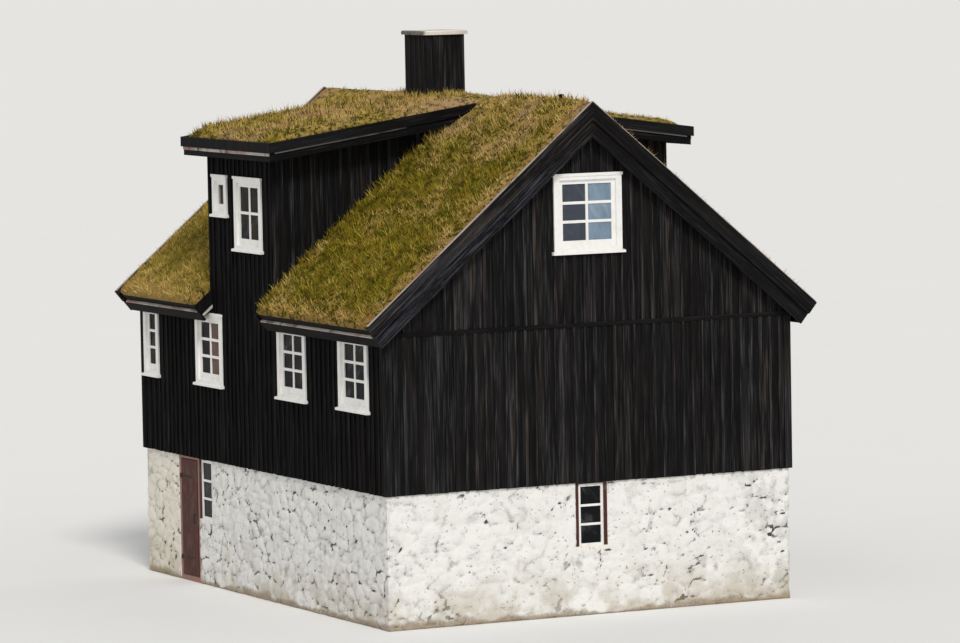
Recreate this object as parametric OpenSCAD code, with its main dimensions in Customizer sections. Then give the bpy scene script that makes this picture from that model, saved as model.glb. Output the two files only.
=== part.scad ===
// Turf-roofed timber house on a whitewashed rubble basement.
// X runs across the gables, Y along the ridge, Z up from the lowest ground.
// The photographed gable faces -Y and the long side with the basement door faces -X.

/* [House] */
// Width across the gables, over the boarding
house_w = 6400; // [5300:50:7700]
// Length along the ridge, over the boarding
house_l = 8400; // [7000:50:10400]
// Height of the rubble basement above the lowest ground
basement_h = 1900; // [1850:10:2400]
// Height of the timber wall from the basement to the eaves
storey_h = 2220; // [2150:10:2700]
// Thickness of the framed and boarded timber walls
timber_t = 150; // [100:5:200]
// Thickness of the rubble walls
masonry_t = 450; // [350:10:600]
// How far the boarding hangs out over the rubble
boarding_lap = 40; // [10:5:60]

/* [Floors] */
// Thickness of the paving inside the basement
paving_t = 60; // [40:10:80]
// Thickness of the main floor, joists and boards together
main_floor_t = 160; // [120:10:240]
// Thickness of the loft floor, joists and boards together
loft_floor_t = 120; // [100:10:200]
// Height of the loft floor's top above the eaves line
loft_floor_rise = 80; // [0:10:100]

/* [Roof] */
// Pitch of the main roof in degrees
roof_pitch = 40; // [35:1:45]
// Depth of rafters and boarding together, square to the slope
deck_t = 110; // [80:5:160]
// Thickness of the turf, square to the slope
turf_t = 200; // [120:10:260]
// Overhang of the turf's edge past the long walls
eaves_out = 350; // [250:10:450]
// Overhang of the bargeboards past the gables
verge_out = 225; // [180:5:400]
// Thickness of each roof-edge board
edge_board_t = 35; // [25:1:45]
// Depth of the outer bargeboard
barge_upper_d = 200; // [150:5:240]
// Depth of the whole stepped bargeboard
barge_total_d = 380; // [320:5:420]
// Depth of the upper eaves board
eaves_upper_d = 110; // [80:5:130]
// Depth of both eaves boards together
eaves_total_d = 280; // [240:5:320]
// How far the turf stands above the eaves boards
eaves_turf_lip = 90; // [40:5:110]
// How far the turf hangs out over the upper eaves board
eaves_turf_out = 5; // [0:1:30]
// Radius of the turf's rolled edge at the eaves
turf_roll = 60; // [20:5:80]

/* [Dormers] */
// Width of each dormer along the ridge, over its cheeks
dormer_w = 2220; // [1900:20:2600]
// Distance from the middle of the house to the middle of the dormers
dormer_shift = 490; // [-200:10:600]
// Pitch of the dormer roofs in degrees
dormer_pitch = 8; // [5:1:12]
// Depth of the dormer roof's rafters and boarding
dormer_deck_t = 80; // [60:5:120]
// Thickness of the dormer roof's turf
dormer_turf_t = 170; // [120:5:200]
// Overhang of the dormer roof past its cheeks
dormer_verge = 450; // [250:10:480]
// Overhang of the dormer roof past its front
dormer_out = 240; // [160:10:300]
// How far the dormer turf stands above its edge boards
dormer_turf_lip = 85; // [40:5:100]
// Depth of the outer edge board on the dormer roof
dormer_upper_d = 140; // [100:5:180]
// Depth of the whole stepped edge board on the dormer roof
dormer_total_d = 270; // [220:5:300]
// Thickness of the cheek walls
cheek_t = 120; // [80:5:150]

/* [Windows] */
// Width of the large windows, over the casing
window_w = 950; // [800:10:1050]
// Height of the windows in the long walls, over the casing
window_h = 1090; // [900:10:1200]
// Width of the narrow window by the far corner
narrow_window_w = 545; // [450:5:600]
// Height of the windows' lower edge above the basement
window_sill_h = 1070; // [950:10:1100]
// Far corner to the middle of the narrow window
narrow_window_inset = 370; // [340:10:500]
// Near corner to the middle of the nearest window
near_window_inset = 950; // [700:10:1000]
// Dormer's far cheek to the middle of the window beyond it
far_bay_offset = 90; // [0:10:200]
// Dormer's near cheek to the middle of the window before it
near_bay_offset = 590; // [500:10:640]
// Width of the gable window
gable_window_w = 1070; // [900:10:1100]
// Height of the gable window
gable_window_h = 1130; // [900:10:1200]
// Rafters down to the upper corners of the gable window
gable_head_gap = 134; // [60:1:250]
// Width of the small dormer window
small_window_w = 500; // [450:10:560]
// Height of the small dormer window
small_window_h = 620; // [500:10:700]
// Underside of the dormer roof to the top of its windows
dormer_head_drop = 400; // [300:10:450]
// Dormer's near cheek to the middle of its large window
dormer_near_inset = 810; // [700:10:860]
// Dormer's far cheek to the middle of its small window
dormer_far_inset = 420; // [380:10:460]
// Width of the casing boards round a window
casing_w = 90; // [70:5:120]
// How far the casing stands out from the boarding
casing_t = 30; // [20:1:40]
// Thickness of the lining boards inside the wall
lining_t = 35; // [25:1:45]
// Depth of the lining boards into the wall
lining_d = 110; // [80:5:150]
// How far the sill board reaches past the casing at each end
sill_ear = 35; // [0:5:50]
// Height of the sill board
sill_h = 45; // [30:5:60]
// How far the sill board stands out from the boarding
sill_out = 65; // [40:5:80]
// Thickness of a pane
glass_t = 6; // [4:1:8]
// Distance from the boarding's face in to the panes
glass_set = 22; // [15:1:40]
// Width of a sash's stiles and top rail
sash_w = 60; // [45:1:75]
// Height of a sash's bottom rail
sash_rail_h = 100; // [70:5:120]
// Thickness of a sash
sash_t = 40; // [30:1:50]
// Distance from the boarding's face in to the sashes
sash_set = 5; // [0:1:12]
// Fall of a sill board's top, towards its outer edge
sill_fall = 12; // [5:1:20]
// How far the head board reaches past the casing at each end
head_ear = 15; // [0:1:30]
// Height of the head board
head_h = 40; // [25:1:60]
// How far the head board stands out from the casing
head_out = 12; // [5:1:25]

/* [Basement windows] */
// Width of a basement window, over its casing
cellar_window_w = 500; // [420:10:560]
// Height of a basement window, hung under the timber wall
cellar_window_h = 980; // [700:10:1100]
// Width of the outer frame boards
cellar_frame_w = 50; // [40:1:60]
// Width of the sash inside them
cellar_sash_w = 40; // [30:1:50]
// Depth of the basement window frames
cellar_frame_d = 110; // [80:5:150]
// How far the frames stand out from the rubble
cellar_frame_out = 15; // [5:1:25]

/* [Basement door] */
// Far corner of the house to the doorway
door_from_corner = 1230; // [1000:10:1400]
// Width of the doorway through the rubble
doorway_w = 720; // [680:10:900]
// Width of the jamb that carries the hinges
hinge_jamb_w = 80; // [60:5:100]
// Width of the other jamb
lock_jamb_w = 50; // [45:5:80]
// Depth of the door frame
door_frame_d = 120; // [100:5:150]
// Height of the head board over the door
door_head_h = 75; // [60:5:120]
// Height of the threshold
threshold_h = 80; // [80:5:120]
// Thickness of the door leaf
leaf_t = 40; // [30:1:50]
// Clearance round the leaf
leaf_gap = 5; // [5:1:8]
// Width of the strips that the leaf closes against
stop_w = 15; // [12:1:20]
// Radius of a hinge pin
pin_r = 7; // [6:0.5:9]
// Running clearance between hinge pin and knuckle
pin_gap = 0.3; // [0.2:0.1:0.5]
// Wall thickness of a hinge knuckle
knuckle_wall = 6; // [4:0.5:8]
// Height of a hinge knuckle
knuckle_h = 60; // [45:5:80]
// Length of a hinge strap
strap_l = 420; // [300:10:480]
// Height of a hinge strap
strap_h = 42; // [30:2:45]
// Thickness of a hinge strap
strap_t = 8; // [6:1:10]
// Height of a hinge above the lower or below the upper end of the leaf
hinge_inset = 260; // [180:10:350]
// Width of the ledges nailed across the back of the leaf
ledge_h = 110; // [80:5:140]
// Thickness of those ledges
ledge_t = 25; // [18:1:32]
// Distance from a ledge's end to the strip that the leaf closes against
ledge_gap = 15; // [10:1:30]
// Length of the door pull
pull_l = 150; // [100:5:200]
// Radius of the door pull
pull_r = 9; // [7:0.5:12]
// Distance from the leaf to the middle of the pull
pull_out = 42; // [35:1:60]
// Leaf's free edge to the pull
pull_inset = 70; // [50:5:100]

/* [Chimney] */
// Middle of the house to the middle of the chimney
chimney_y = 540; // [300:10:700]
// Width of the square stack
stack_w = 540; // [480:10:600]
// Width of the square flue
flue_w = 240; // [180:10:280]
// Height of the flue's floor above the ground
flue_floor = 600; // [400:10:900]
// Thickness of the boarding round the stack above the roof
chimney_board_t = 50; // [30:5:60]
// Height of the boarding's top above the ridge
chimney_rise = 860; // [600:10:1200]
// Thickness of the cap
cap_t = 60; // [40:5:100]
// Overhang of the cap
cap_out = 45; // [20:5:80]
// Chamfer round the cap's upper edge
cap_chamfer = 15; // [5:1:30]
// Gap between the stack and the timber floors and roofs
stack_gap = 20; // [10:5:50]

/* [Trim] */
// Height of the drip board across each gable
drip_h = 60; // [40:5:100]
// How far the drip board stands out
drip_out = 25; // [15:1:40]

/* [Hidden] */

// Sweep of every true round
$fn = 48;
// A cutter's reach past the faces that it goes through
past = 10;
// Lap of the eaves boards below the rafters' ends
eaves_lap = 10;
// Distance from a hinge hook to the edge of its jamb
hook_margin = 1;
// Clearance at the seats of the sloped roof pieces
seat = 0.2;

half_w = house_w / 2;
half_l = house_l / 2;
sill_z = basement_h;
plate_z = sill_z + storey_h;
rubble_x = half_w - boarding_lap;
rubble_y = half_l - boarding_lap;
room_x = rubble_x - masonry_t;
room_y = rubble_y - masonry_t;

// Main roof: lift is the height above the rafters' underside, square to the slope
roof_t = deck_t + turf_t;
tip_x = half_w + eaves_out;
tip_y = half_l + verge_out;
function roof_z(x, lift) = plate_z + (half_w - x) * tan(roof_pitch) + lift / cos(roof_pitch);
function edge_x(lift, back) = tip_x - (roof_t - lift) * sin(roof_pitch) - back * cos(roof_pitch);
function on_edge(lift, back) = [edge_x(lift, back), roof_z(edge_x(lift, back), lift)];
function under_roof(x) = [x, roof_z(x, -seat)];
ridge_z = roof_z(0, roof_t);
edge_depth = 2 * edge_board_t;
deck_back = edge_depth + seat;
eaves_top = roof_t - eaves_turf_lip;
eaves_step = eaves_top - eaves_upper_d;
eaves_low = eaves_top - eaves_total_d;

// Dormer roofs: their turf starts level with the ridge
dormer_t = dormer_deck_t + dormer_turf_t;
dormer_y0 = dormer_shift - dormer_w / 2;
dormer_y1 = dormer_shift + dormer_w / 2;
dormer_tip_x = half_w + dormer_out;
dormer_tip_y0 = dormer_y0 - dormer_verge;
dormer_tip_y1 = dormer_y1 + dormer_verge;
dormer_top = dormer_t - dormer_turf_lip;
dormer_low = dormer_top - dormer_total_d;
function dormer_z(x, lift) = ridge_z - x * tan(dormer_pitch) - (dormer_t - lift) / cos(dormer_pitch);
function under_dormer(x) = [x, dormer_z(x, -seat)];
dormer_head_z = dormer_z(half_w, 0) - dormer_head_drop;

// Windows, each as [middle along the wall, lower edge, width, height]
side_windows = [
    [half_l - narrow_window_inset, sill_z + window_sill_h, narrow_window_w, window_h],
    [dormer_y1 + far_bay_offset, sill_z + window_sill_h, window_w, window_h],
    [dormer_y0 - near_bay_offset, sill_z + window_sill_h, window_w, window_h],
    [near_window_inset - half_l, sill_z + window_sill_h, window_w, window_h]
];
dormer_windows = [
    [dormer_y0 + dormer_near_inset, dormer_head_z - window_h, window_w, window_h],
    [dormer_y1 - dormer_far_inset, dormer_head_z - small_window_h, small_window_w, small_window_h]
];
gable_head_z = roof_z(gable_window_w / 2 + head_ear, 0) - gable_head_gap;
gable_window = [0, gable_head_z - gable_window_h, gable_window_w, gable_window_h];

// Doorway, frame and leaf
door_y1 = half_l - door_from_corner;
door_y0 = door_y1 - doorway_w;
cellar_window_y = door_y0 - cellar_window_w / 2;
cellar_window_z = sill_z - cellar_window_h;
jamb_face = -rubble_x - cellar_frame_out;
leaf_face = jamb_face - leaf_gap;
leaf_y0 = door_y0 + lock_jamb_w + leaf_gap;
leaf_y1 = door_y1 - hinge_jamb_w - leaf_gap;
leaf_z0 = threshold_h + leaf_gap;
leaf_z1 = sill_z - door_head_h - leaf_gap;
knuckle_r = pin_r + pin_gap + knuckle_wall;
hinge_x = jamb_face - leaf_gap - knuckle_r;
hinge_y = leaf_y1 + leaf_gap + pin_r + hook_margin;
hinge_zs = [leaf_z0 + hinge_inset, leaf_z1 - hinge_inset];
arm_h = 2 * pin_r;

// Chimney
stack_top = ridge_z + chimney_rise;
boarding_w = stack_w + 2 * chimney_board_t;

tar = "#1b1a19";
whitewash = "#dcdad2";
turf_green = "#6f7030";
white_paint = "#f2f2ee";
door_red = "#5a2722";
bare_wood = "#8a7a62";
pane_blue = "#4d5a66";

// A prism with its outline in X and Z, running along Y
module along_y(outline, y0, y1) {
    translate([0, y1, 0]) rotate([90, 0, 0]) linear_extrude(y1 - y0) polygon(outline);
}

// A prism with its outline in Y and Z, running along X
module along_x(outline, x0, x1) {
    translate([x0, 0, 0]) rotate([90, 0, 90]) linear_extrude(x1 - x0) polygon(outline);
}

// A box from its lowest to its highest corner
module block(low, high) {
    translate(low) cube(high - low);
}

// Children as drawn on the right, or mirrored to the left
module on_side(left) {
    mirror([left ? 1 : 0, 0, 0]) children();
}

// Children drawn at the front gable's face, placed on either gable
module on_gable(back) {
    rotate([0, 0, back ? 180 : 0]) translate([0, -half_l, 0]) children();
}

// Children drawn in the front gable's sense, placed on a long wall's face at y
module on_long_wall(left, y) {
    translate([left ? -half_w : half_w, y, 0]) rotate([0, 0, left ? -90 : 90]) children();
}

// One stretch of the main roof between two lifts, stopping back from the eaves
function slope_outline(low, high, back) = [
    [0, roof_z(0, low)], on_edge(low, back), on_edge(high, back), [0, roof_z(0, high)]
];

// One stretch of a dormer roof between two lifts, out to x
function dormer_outline(low, high, x) = [
    [0, dormer_z(0, low)], [x, dormer_z(x, low)], [x, dormer_z(x, high)], [0, dormer_z(0, high)]
];

// The space inside a window casing, through the wall
module window_hole(w) {
    gap = casing_w - lining_t;
    block([-w[2] / 2 + gap, -past, w[1] + gap],
          [w[2] / 2 - gap, timber_t + past, w[1] + w[3] - gap]);
}

// Casing, head and sill boards on the boarding, lining in the wall and the sash, in one piece
module window_frame(w) {
    gap = casing_w - lining_t;
    side = w[2] / 2;
    open = side - casing_w;
    translate([0, 0, w[1]]) {
        difference() {
            union() {
                block([-side, -casing_t, 0], [side, 0, w[3]]);
                block([-side - head_ear, -casing_t - head_out, w[3] - head_h], [side + head_ear, 0, w[3]]);
                block([gap - side, 0, gap], [side - gap, lining_d, w[3] - gap]);
                along_x([[0, 0], [-sill_out, 0], [-sill_out, sill_h - sill_fall], [0, sill_h]],
                        -side - sill_ear, side + sill_ear);
            }
            block([-open, -sill_out - past, casing_w], [open, lining_d + past, w[3] - casing_w]);
        }
        difference() {
            block([-open, sash_set, casing_w], [open, sash_set + sash_t, w[3] - casing_w]);
            block([sash_w - open, sash_set - past, casing_w + sash_rail_h],
                  [open - sash_w, sash_set + sash_t + past, w[3] - casing_w - sash_w]);
        }
    }
}

// The sheet that closes one window, in its sash
module window_pane(w) {
    open = w[2] / 2 - casing_w - sash_w;
    block([-open, glass_set, w[1] + casing_w + sash_rail_h],
          [open, glass_set + glass_t, w[1] + w[3] - casing_w - sash_w]);
}

// A block in a basement window, in from its outline by in, with the rubble's face at y = 0
module cellar_block(in, y0, y1) {
    w = cellar_window_w / 2 - in;
    block([-w, y0, cellar_window_z + in], [w, y1, sill_z - in]);
}

module cellar_frame() {
    difference() {
        cellar_block(0, -cellar_frame_out, cellar_frame_d);
        cellar_block(cellar_frame_w, -cellar_frame_out - past, cellar_frame_d + past);
    }
}

module cellar_sash() {
    difference() {
        cellar_block(cellar_frame_w, sash_set, sash_set + sash_t);
        cellar_block(cellar_frame_w + cellar_sash_w, sash_set - past, sash_set + sash_t + past);
    }
}

module cellar_pane() {
    cellar_block(cellar_frame_w + cellar_sash_w, glass_set, glass_set + glass_t);
}

// Each place that has a basement window: both gables and beside the door
module at_cellar_windows() {
    for (back = [false, true]) on_gable(back) translate([0, boarding_lap, 0]) children();
    translate([-rubble_x, cellar_window_y, 0]) rotate([0, 0, -90]) children();
}

// Paving between the walls, with a tongue through the doorway up to the threshold
module basement_floor() {
    color("dimgray") difference() {
        union() {
            block([-room_x, -room_y, 0], [room_x, room_y, paving_t]);
            block([jamb_face + door_frame_d, door_y0, 0], [-room_x, door_y1, paving_t]);
        }
        stack_shaft(stack_w, -past, paving_t + past);
    }
}

// A square shaft of the given width round the chimney's axis
module stack_shaft(w, z0, z1) {
    translate([0, chimney_y, 0]) block([-w / 2, -w / 2, z0], [w / 2, w / 2, z1]);
}

// Rubble wall under a gable, with its window cut down from the top
module basement_gable_wall(back) {
    w = cellar_window_w / 2;
    color(whitewash) on_gable(back) translate([0, boarding_lap, 0]) along_y([
        [-rubble_x, 0], [rubble_x, 0], [rubble_x, sill_z], [w, sill_z], [w, cellar_window_z],
        [-w, cellar_window_z], [-w, sill_z], [-rubble_x, sill_z]
    ], 0, masonry_t);
}

module basement_right_wall() {
    color(whitewash) block([room_x, -room_y, 0], [rubble_x, room_y, sill_z]);
}

// Rubble from the near corner to the doorway, stepped down under the small window
module basement_left_wall_near() {
    color(whitewash) along_x([
        [-room_y, 0], [door_y0, 0], [door_y0, cellar_window_z], [door_y0 - cellar_window_w, cellar_window_z],
        [door_y0 - cellar_window_w, sill_z], [-room_y, sill_z]
    ], -rubble_x, -room_x);
}

module basement_left_wall_far() {
    color(whitewash) block([-rubble_x, door_y1, 0], [-room_x, room_y, sill_z]);
}

module basement_door_frame() {
    inner_y0 = door_y0 + lock_jamb_w;
    inner_y1 = door_y1 - hinge_jamb_w;
    inner_z1 = sill_z - door_head_h;
    stop_face = leaf_face + leaf_t + leaf_gap;
    back_face = jamb_face + door_frame_d;
    color(door_red) union() {
        difference() {
            block([jamb_face, door_y0, 0], [back_face, door_y1, sill_z]);
            block([jamb_face - past, inner_y0, threshold_h], [stop_face, inner_y1, inner_z1]);
            block([jamb_face - past, inner_y0 + stop_w, threshold_h],
                  [back_face + past, inner_y1 - stop_w, inner_z1 - stop_w]);
        }
        for (z = hinge_zs) hinge_hook(z);
    }
}

// Hook on the jamb that a knuckle hangs on, its arm just under the knuckle
module hinge_hook(z) {
    arm_top = z - knuckle_h / 2 - pin_gap;
    block([hinge_x - pin_r, hinge_y - pin_r, arm_top - arm_h], [jamb_face, hinge_y + pin_r, arm_top]);
    translate([hinge_x, hinge_y, arm_top]) cylinder(r = pin_r, h = knuckle_h + 2 * pin_gap);
}

module basement_door() {
    back_face = leaf_face + leaf_t;
    ledge_in = stop_w + ledge_gap;
    color(door_red) difference() {
        union() {
            block([leaf_face, leaf_y0, leaf_z0], [back_face, leaf_y1, leaf_z1]);
            for (z = hinge_zs) {
                block([leaf_face - strap_t, hinge_y - strap_l, z - strap_h / 2],
                      [leaf_face, hinge_y, z + strap_h / 2]);
                translate([hinge_x, hinge_y, z - knuckle_h / 2]) cylinder(r = knuckle_r, h = knuckle_h);
                block([back_face, leaf_y0 + ledge_in, z - ledge_h / 2],
                      [back_face + ledge_t, leaf_y1 - ledge_in, z + ledge_h / 2]);
            }
            door_pull();
        }
        for (z = hinge_zs)
            translate([hinge_x, hinge_y, z - knuckle_h / 2 - past])
                cylinder(r = pin_r + pin_gap, h = knuckle_h + 2 * past);
    }
}

// Upright pull on the leaf, on two posts
module door_pull() {
    middle = (leaf_z0 + leaf_z1) / 2;
    translate([leaf_face - pull_out, leaf_y0 + pull_inset, middle - pull_l / 2]) {
        cylinder(r = pull_r, h = pull_l);
        for (z = [2 * pull_r, pull_l - 2 * pull_r])
            translate([0, 0, z]) rotate([0, 90, 0]) cylinder(r = 0.7 * pull_r, h = pull_out);
    }
}

module basement_window_frames() {
    color(door_red) at_cellar_windows() cellar_frame();
}

module basement_window_sashes() {
    color(white_paint) at_cellar_windows() cellar_sash();
}

module basement_window_glass() {
    color(pane_blue) at_cellar_windows() cellar_pane();
}

// A timber floor that lands on the walls all round and leaves a gap round the stack
module timber_floor(z0, z1) {
    color(bare_wood) difference() {
        block([timber_t - half_w, timber_t - half_l, z0], [half_w - timber_t, half_l - timber_t, z1]);
        stack_shaft(stack_w + 2 * stack_gap, z0 - past, z1 + past);
    }
}

module main_floor() {
    timber_floor(sill_z, sill_z + main_floor_t);
}

module loft_floor() {
    timber_floor(plate_z + loft_floor_rise - loft_floor_t, plate_z + loft_floor_rise);
}

// Gable wall up to the rafters, with the loft window cut through
module gable_wall(back) {
    color(tar) on_gable(back) difference() {
        along_y([
            [-half_w, sill_z], [half_w, sill_z], under_roof(half_w), under_roof(0),
            [-half_w, under_roof(half_w)[1]]
        ], 0, timber_t);
        window_hole(gable_window);
    }
}

// Long wall between the gables, its top cut to the rafters
module long_wall(left) {
    inner_x = half_w - timber_t;
    color(tar) difference() {
        on_side(left) along_y([
            [inner_x, sill_z], [half_w, sill_z], under_roof(half_w), under_roof(inner_x)
        ], timber_t - half_l, half_l - timber_t);
        for (w = side_windows) on_long_wall(left, w[0]) window_hole(w);
    }
}

module gable_trims() {
    color(tar) for (back = [false, true]) on_gable(back)
        block([-half_w, -drip_out, plate_z - drip_h], [half_w, 0, plate_z]);
}

module gable_window_frames() {
    color(white_paint) for (back = [false, true]) on_gable(back) window_frame(gable_window);
}

module gable_window_glass() {
    color(pane_blue) for (back = [false, true]) on_gable(back) window_pane(gable_window);
}

module side_window_frames(left) {
    color(white_paint) for (w = side_windows) on_long_wall(left, w[0]) window_frame(w);
}

module side_window_glass() {
    color(pane_blue) for (left = [true, false], w = side_windows)
        on_long_wall(left, w[0]) window_pane(w);
}

// Front of a dormer, standing on the long wall and flush with it
module dormer_front(left) {
    inner_x = half_w - timber_t;
    color(tar) difference() {
        on_side(left) along_y([
            [inner_x, roof_z(inner_x, 0)], [half_w, roof_z(half_w, 0)], under_dormer(half_w),
            under_dormer(inner_x)
        ], dormer_y0, dormer_y1);
        for (w = dormer_windows) on_long_wall(left, w[0]) window_hole(w);
    }
}

// The two cheeks of a dormer, from the rafters up to its roof
module dormer_cheeks(left) {
    inner_x = half_w - timber_t;
    color(tar) on_side(left) for (y = [dormer_y0, dormer_y1 - cheek_t]) along_y([
        [0, roof_z(0, 0)], [inner_x, roof_z(inner_x, 0)], under_dormer(inner_x), under_dormer(0)
    ], y, y + cheek_t);
}

module dormer_window_frames() {
    color(white_paint) for (left = [true, false], w = dormer_windows)
        on_long_wall(left, w[0]) window_frame(w);
}

module dormer_window_glass() {
    color(pane_blue) for (left = [true, false], w = dormer_windows)
        on_long_wall(left, w[0]) window_pane(w);
}

// The two stretches of main roof beside a dormer, each as [start, end] along the ridge
roof_stretches = [[edge_depth - tip_y, dormer_y0], [dormer_y1, tip_y - edge_depth]];

module roof_deck(left) {
    color(bare_wood) on_side(left) for (s = roof_stretches)
        along_y(slope_outline(0, deck_t, deck_back), s[0], s[1]);
}

// What a dormer roof and its edge boards take out of the main turf
module dormer_space() {
    y0 = dormer_tip_y0 - seat;
    y1 = dormer_tip_y1 + seat;
    edge = edge_depth + 2 * seat;
    along_y(dormer_outline(-seat, 2 * dormer_t, dormer_tip_x), y0, y1);
    for (y = [y0, y1 - edge])
        along_y(dormer_outline(dormer_low - seat, 2 * dormer_t, dormer_tip_x), y, y + edge);
}

// Turf with its edge rolled over the eaves boards
module turf(left) {
    lip = edge_board_t - eaves_turf_out;
    outline = concat(
        [[0, roof_z(0, deck_t + seat)], on_edge(deck_t + seat, deck_back)],
        [on_edge(eaves_top + seat, deck_back)],
        [on_edge(eaves_top + seat, lip)],
        [for (a = [0:15:90]) on_edge(roof_t - turf_roll * (1 - sin(a)), lip + turf_roll * (1 - cos(a)))],
        [[0, ridge_z]]
    );
    color(turf_green) on_side(left) difference() {
        for (s = roof_stretches) along_y(outline, s[0], s[1]);
        dormer_space();
    }
}

module dormer_roof(left) {
    color(bare_wood) on_side(left) difference() {
        along_y(dormer_outline(0, dormer_deck_t, dormer_tip_x - edge_depth),
                dormer_tip_y0 + edge_depth, dormer_tip_y1 - edge_depth);
        stack_shaft(stack_w + 2 * stack_gap, 0, 2 * stack_top);
    }
}

// Dormer turf with its edges sloped down to the boards that hold it
module dormer_turf(left) {
    x = dormer_tip_x - edge_depth;
    low = dormer_deck_t + seat;
    run = 2 * dormer_turf_lip;
    outline = [
        [0, dormer_z(0, low)], [x, dormer_z(x, low)], [x, dormer_z(x, dormer_top)],
        [x - run, dormer_z(x - run, dormer_t)], [0, ridge_z]
    ];
    y0 = dormer_tip_y0 + edge_depth;
    y1 = dormer_tip_y1 - edge_depth;
    color(turf_green) on_side(left) difference() {
        along_y(outline, y0, y1);
        stack_shaft(boarding_w, 0, 2 * stack_top);
        translate([0, 0, ridge_z]) rotate([0, dormer_pitch, 0]) {
            turf_bevel(y0, run);
            translate([0, y0 + y1, 0]) mirror([0, 1, 0]) turf_bevel(y0, run);
        }
    }
}

// Wedge that slopes the turf down towards a verge at y, drawn on the dormer roof's slope
module turf_bevel(y, run) {
    lip = dormer_turf_lip;
    along_x([[y - past, -lip * (1 + past / run)], [y + run, 0], [y + run, past], [y - past, past]],
            -tip_x, 2 * tip_x);
}

// Stepped bargeboards of one gable: outer board above, inner board below it, mitred at the ridge
module bargeboards(back) {
    color(tar) rotate([0, 0, back ? 180 : 0]) for (left = [true, false]) on_side(left) {
        along_y(slope_outline(roof_t - barge_upper_d, roof_t, 0), -tip_y, edge_board_t - tip_y);
        along_y(slope_outline(roof_t - barge_total_d, roof_t - barge_upper_d / 2, 0),
                edge_board_t - tip_y, edge_depth - tip_y);
    }
}

// Stepped boards round a dormer roof: two verges scribed to the main roof, joined by the front board
module dormer_bargeboards(left) {
    step = dormer_top - dormer_upper_d;
    color(tar) on_side(left) difference() {
        union() {
            dormer_edge(step, dormer_top, 0);
            dormer_edge(dormer_low, dormer_top - dormer_upper_d / 2, edge_board_t);
        }
        along_y([
            [-past, 0], [tip_x, 0], [tip_x, roof_z(tip_x, deck_t + seat)],
            [-past, roof_z(-past, deck_t + seat)]
        ], dormer_tip_y0 - past, dormer_tip_y1 + past);
    }
}

// One U-shaped layer of dormer edge board, in from the roof's outline by in
module dormer_edge(low, high, in) {
    x = dormer_tip_x - in;
    outer = dormer_outline(low, high, x);
    for (y = [dormer_tip_y0 + in, dormer_tip_y1 - in - edge_board_t]) along_y(outer, y, y + edge_board_t);
    difference() {
        along_y(outer, dormer_tip_y0 + in, dormer_tip_y1 - in);
        block([-past, dormer_tip_y0 - past, 0], [x - edge_board_t, dormer_tip_y1 + past, 2 * ridge_z]);
    }
}

// Board that closes the turf's end beside a dormer, where it hangs out past the wall
module end_board(y) {
    along_y([
        [half_w, roof_z(half_w, 0)], on_edge(0, 0), on_edge(eaves_top, 0),
        [half_w, roof_z(half_w, eaves_top)]
    ], y, y + edge_board_t);
}

// Boards on edge along the eaves: the lower one stands out and the upper one holds the turf
module eaves_boards(left) {
    outline = [
        on_edge(eaves_low, 0), on_edge(eaves_step, 0), on_edge(eaves_step, edge_board_t),
        on_edge(eaves_top, edge_board_t), on_edge(eaves_top, edge_depth), on_edge(-eaves_lap, edge_depth),
        on_edge(-eaves_lap, edge_board_t), on_edge(eaves_low, edge_board_t)
    ];
    color(tar) on_side(left) {
        for (s = roof_stretches) along_y(outline, s[0], s[1]);
        end_board(dormer_y0);
        end_board(dormer_y1 - edge_board_t);
    }
}

module chimney_stack() {
    color("gray") difference() {
        stack_shaft(stack_w, 0, stack_top);
        stack_shaft(flue_w, flue_floor, stack_top + past);
    }
}

// Boarding round the stack, standing on the dormer roofs' boards
module chimney_boarding() {
    span = boarding_w / 2;
    foot = [for (x = [-span, 0, span]) [x, dormer_z(abs(x), dormer_deck_t + seat)]];
    color(tar) difference() {
        along_y(concat(foot, [[span, stack_top], [-span, stack_top]]), chimney_y - span, chimney_y + span);
        stack_shaft(stack_w, 0, stack_top + past);
    }
}

// Slab on the stack, its upper edge chamfered all round
module chimney_cap() {
    side = boarding_w / 2 + cap_out;
    top = stack_top + cap_t;
    outline = [
        [-side, stack_top], [side, stack_top], [side, top - cap_chamfer], [side - cap_chamfer, top],
        [cap_chamfer - side, top], [-side, top - cap_chamfer]
    ];
    color("lightgray") difference() {
        intersection() {
            along_y(outline, chimney_y - side, chimney_y + side);
            translate([0, chimney_y, 0]) along_x(outline, -side, side);
        }
        stack_shaft(flue_w, stack_top - past, top + past);
    }
}

basement_floor();
basement_gable_wall(false);  // basement_front_wall
basement_gable_wall(true);  // basement_back_wall
basement_right_wall();
basement_left_wall_near();
basement_left_wall_far();
basement_door_frame();
basement_door();
basement_window_frames();
basement_window_sashes();
basement_window_glass();
main_floor();
loft_floor();
gable_wall(false);  // front_wall
gable_wall(true);  // back_wall
long_wall(true);  // left_wall
long_wall(false);  // right_wall
gable_trims();
gable_window_frames();
gable_window_glass();
side_window_frames(true);  // left_window_frames
side_window_frames(false);  // right_window_frames
side_window_glass();
dormer_front(true);  // dormer_front_left
dormer_front(false);  // dormer_front_right
dormer_cheeks(true);  // dormer_cheeks_left
dormer_cheeks(false);  // dormer_cheeks_right
dormer_window_frames();
dormer_window_glass();
roof_deck(true);  // roof_deck_left
roof_deck(false);  // roof_deck_right
turf(true);  // turf_left
turf(false);  // turf_right
dormer_roof(true);  // dormer_roof_left
dormer_roof(false);  // dormer_roof_right
dormer_turf(true);  // dormer_turf_left
dormer_turf(false);  // dormer_turf_right
bargeboards(false);  // bargeboards_front
bargeboards(true);  // bargeboards_back
dormer_bargeboards(true);  // dormer_bargeboards_left
dormer_bargeboards(false);  // dormer_bargeboards_right
eaves_boards(true);  // eaves_boards_left
eaves_boards(false);  // eaves_boards_right
chimney_stack();
chimney_boarding();
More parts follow.
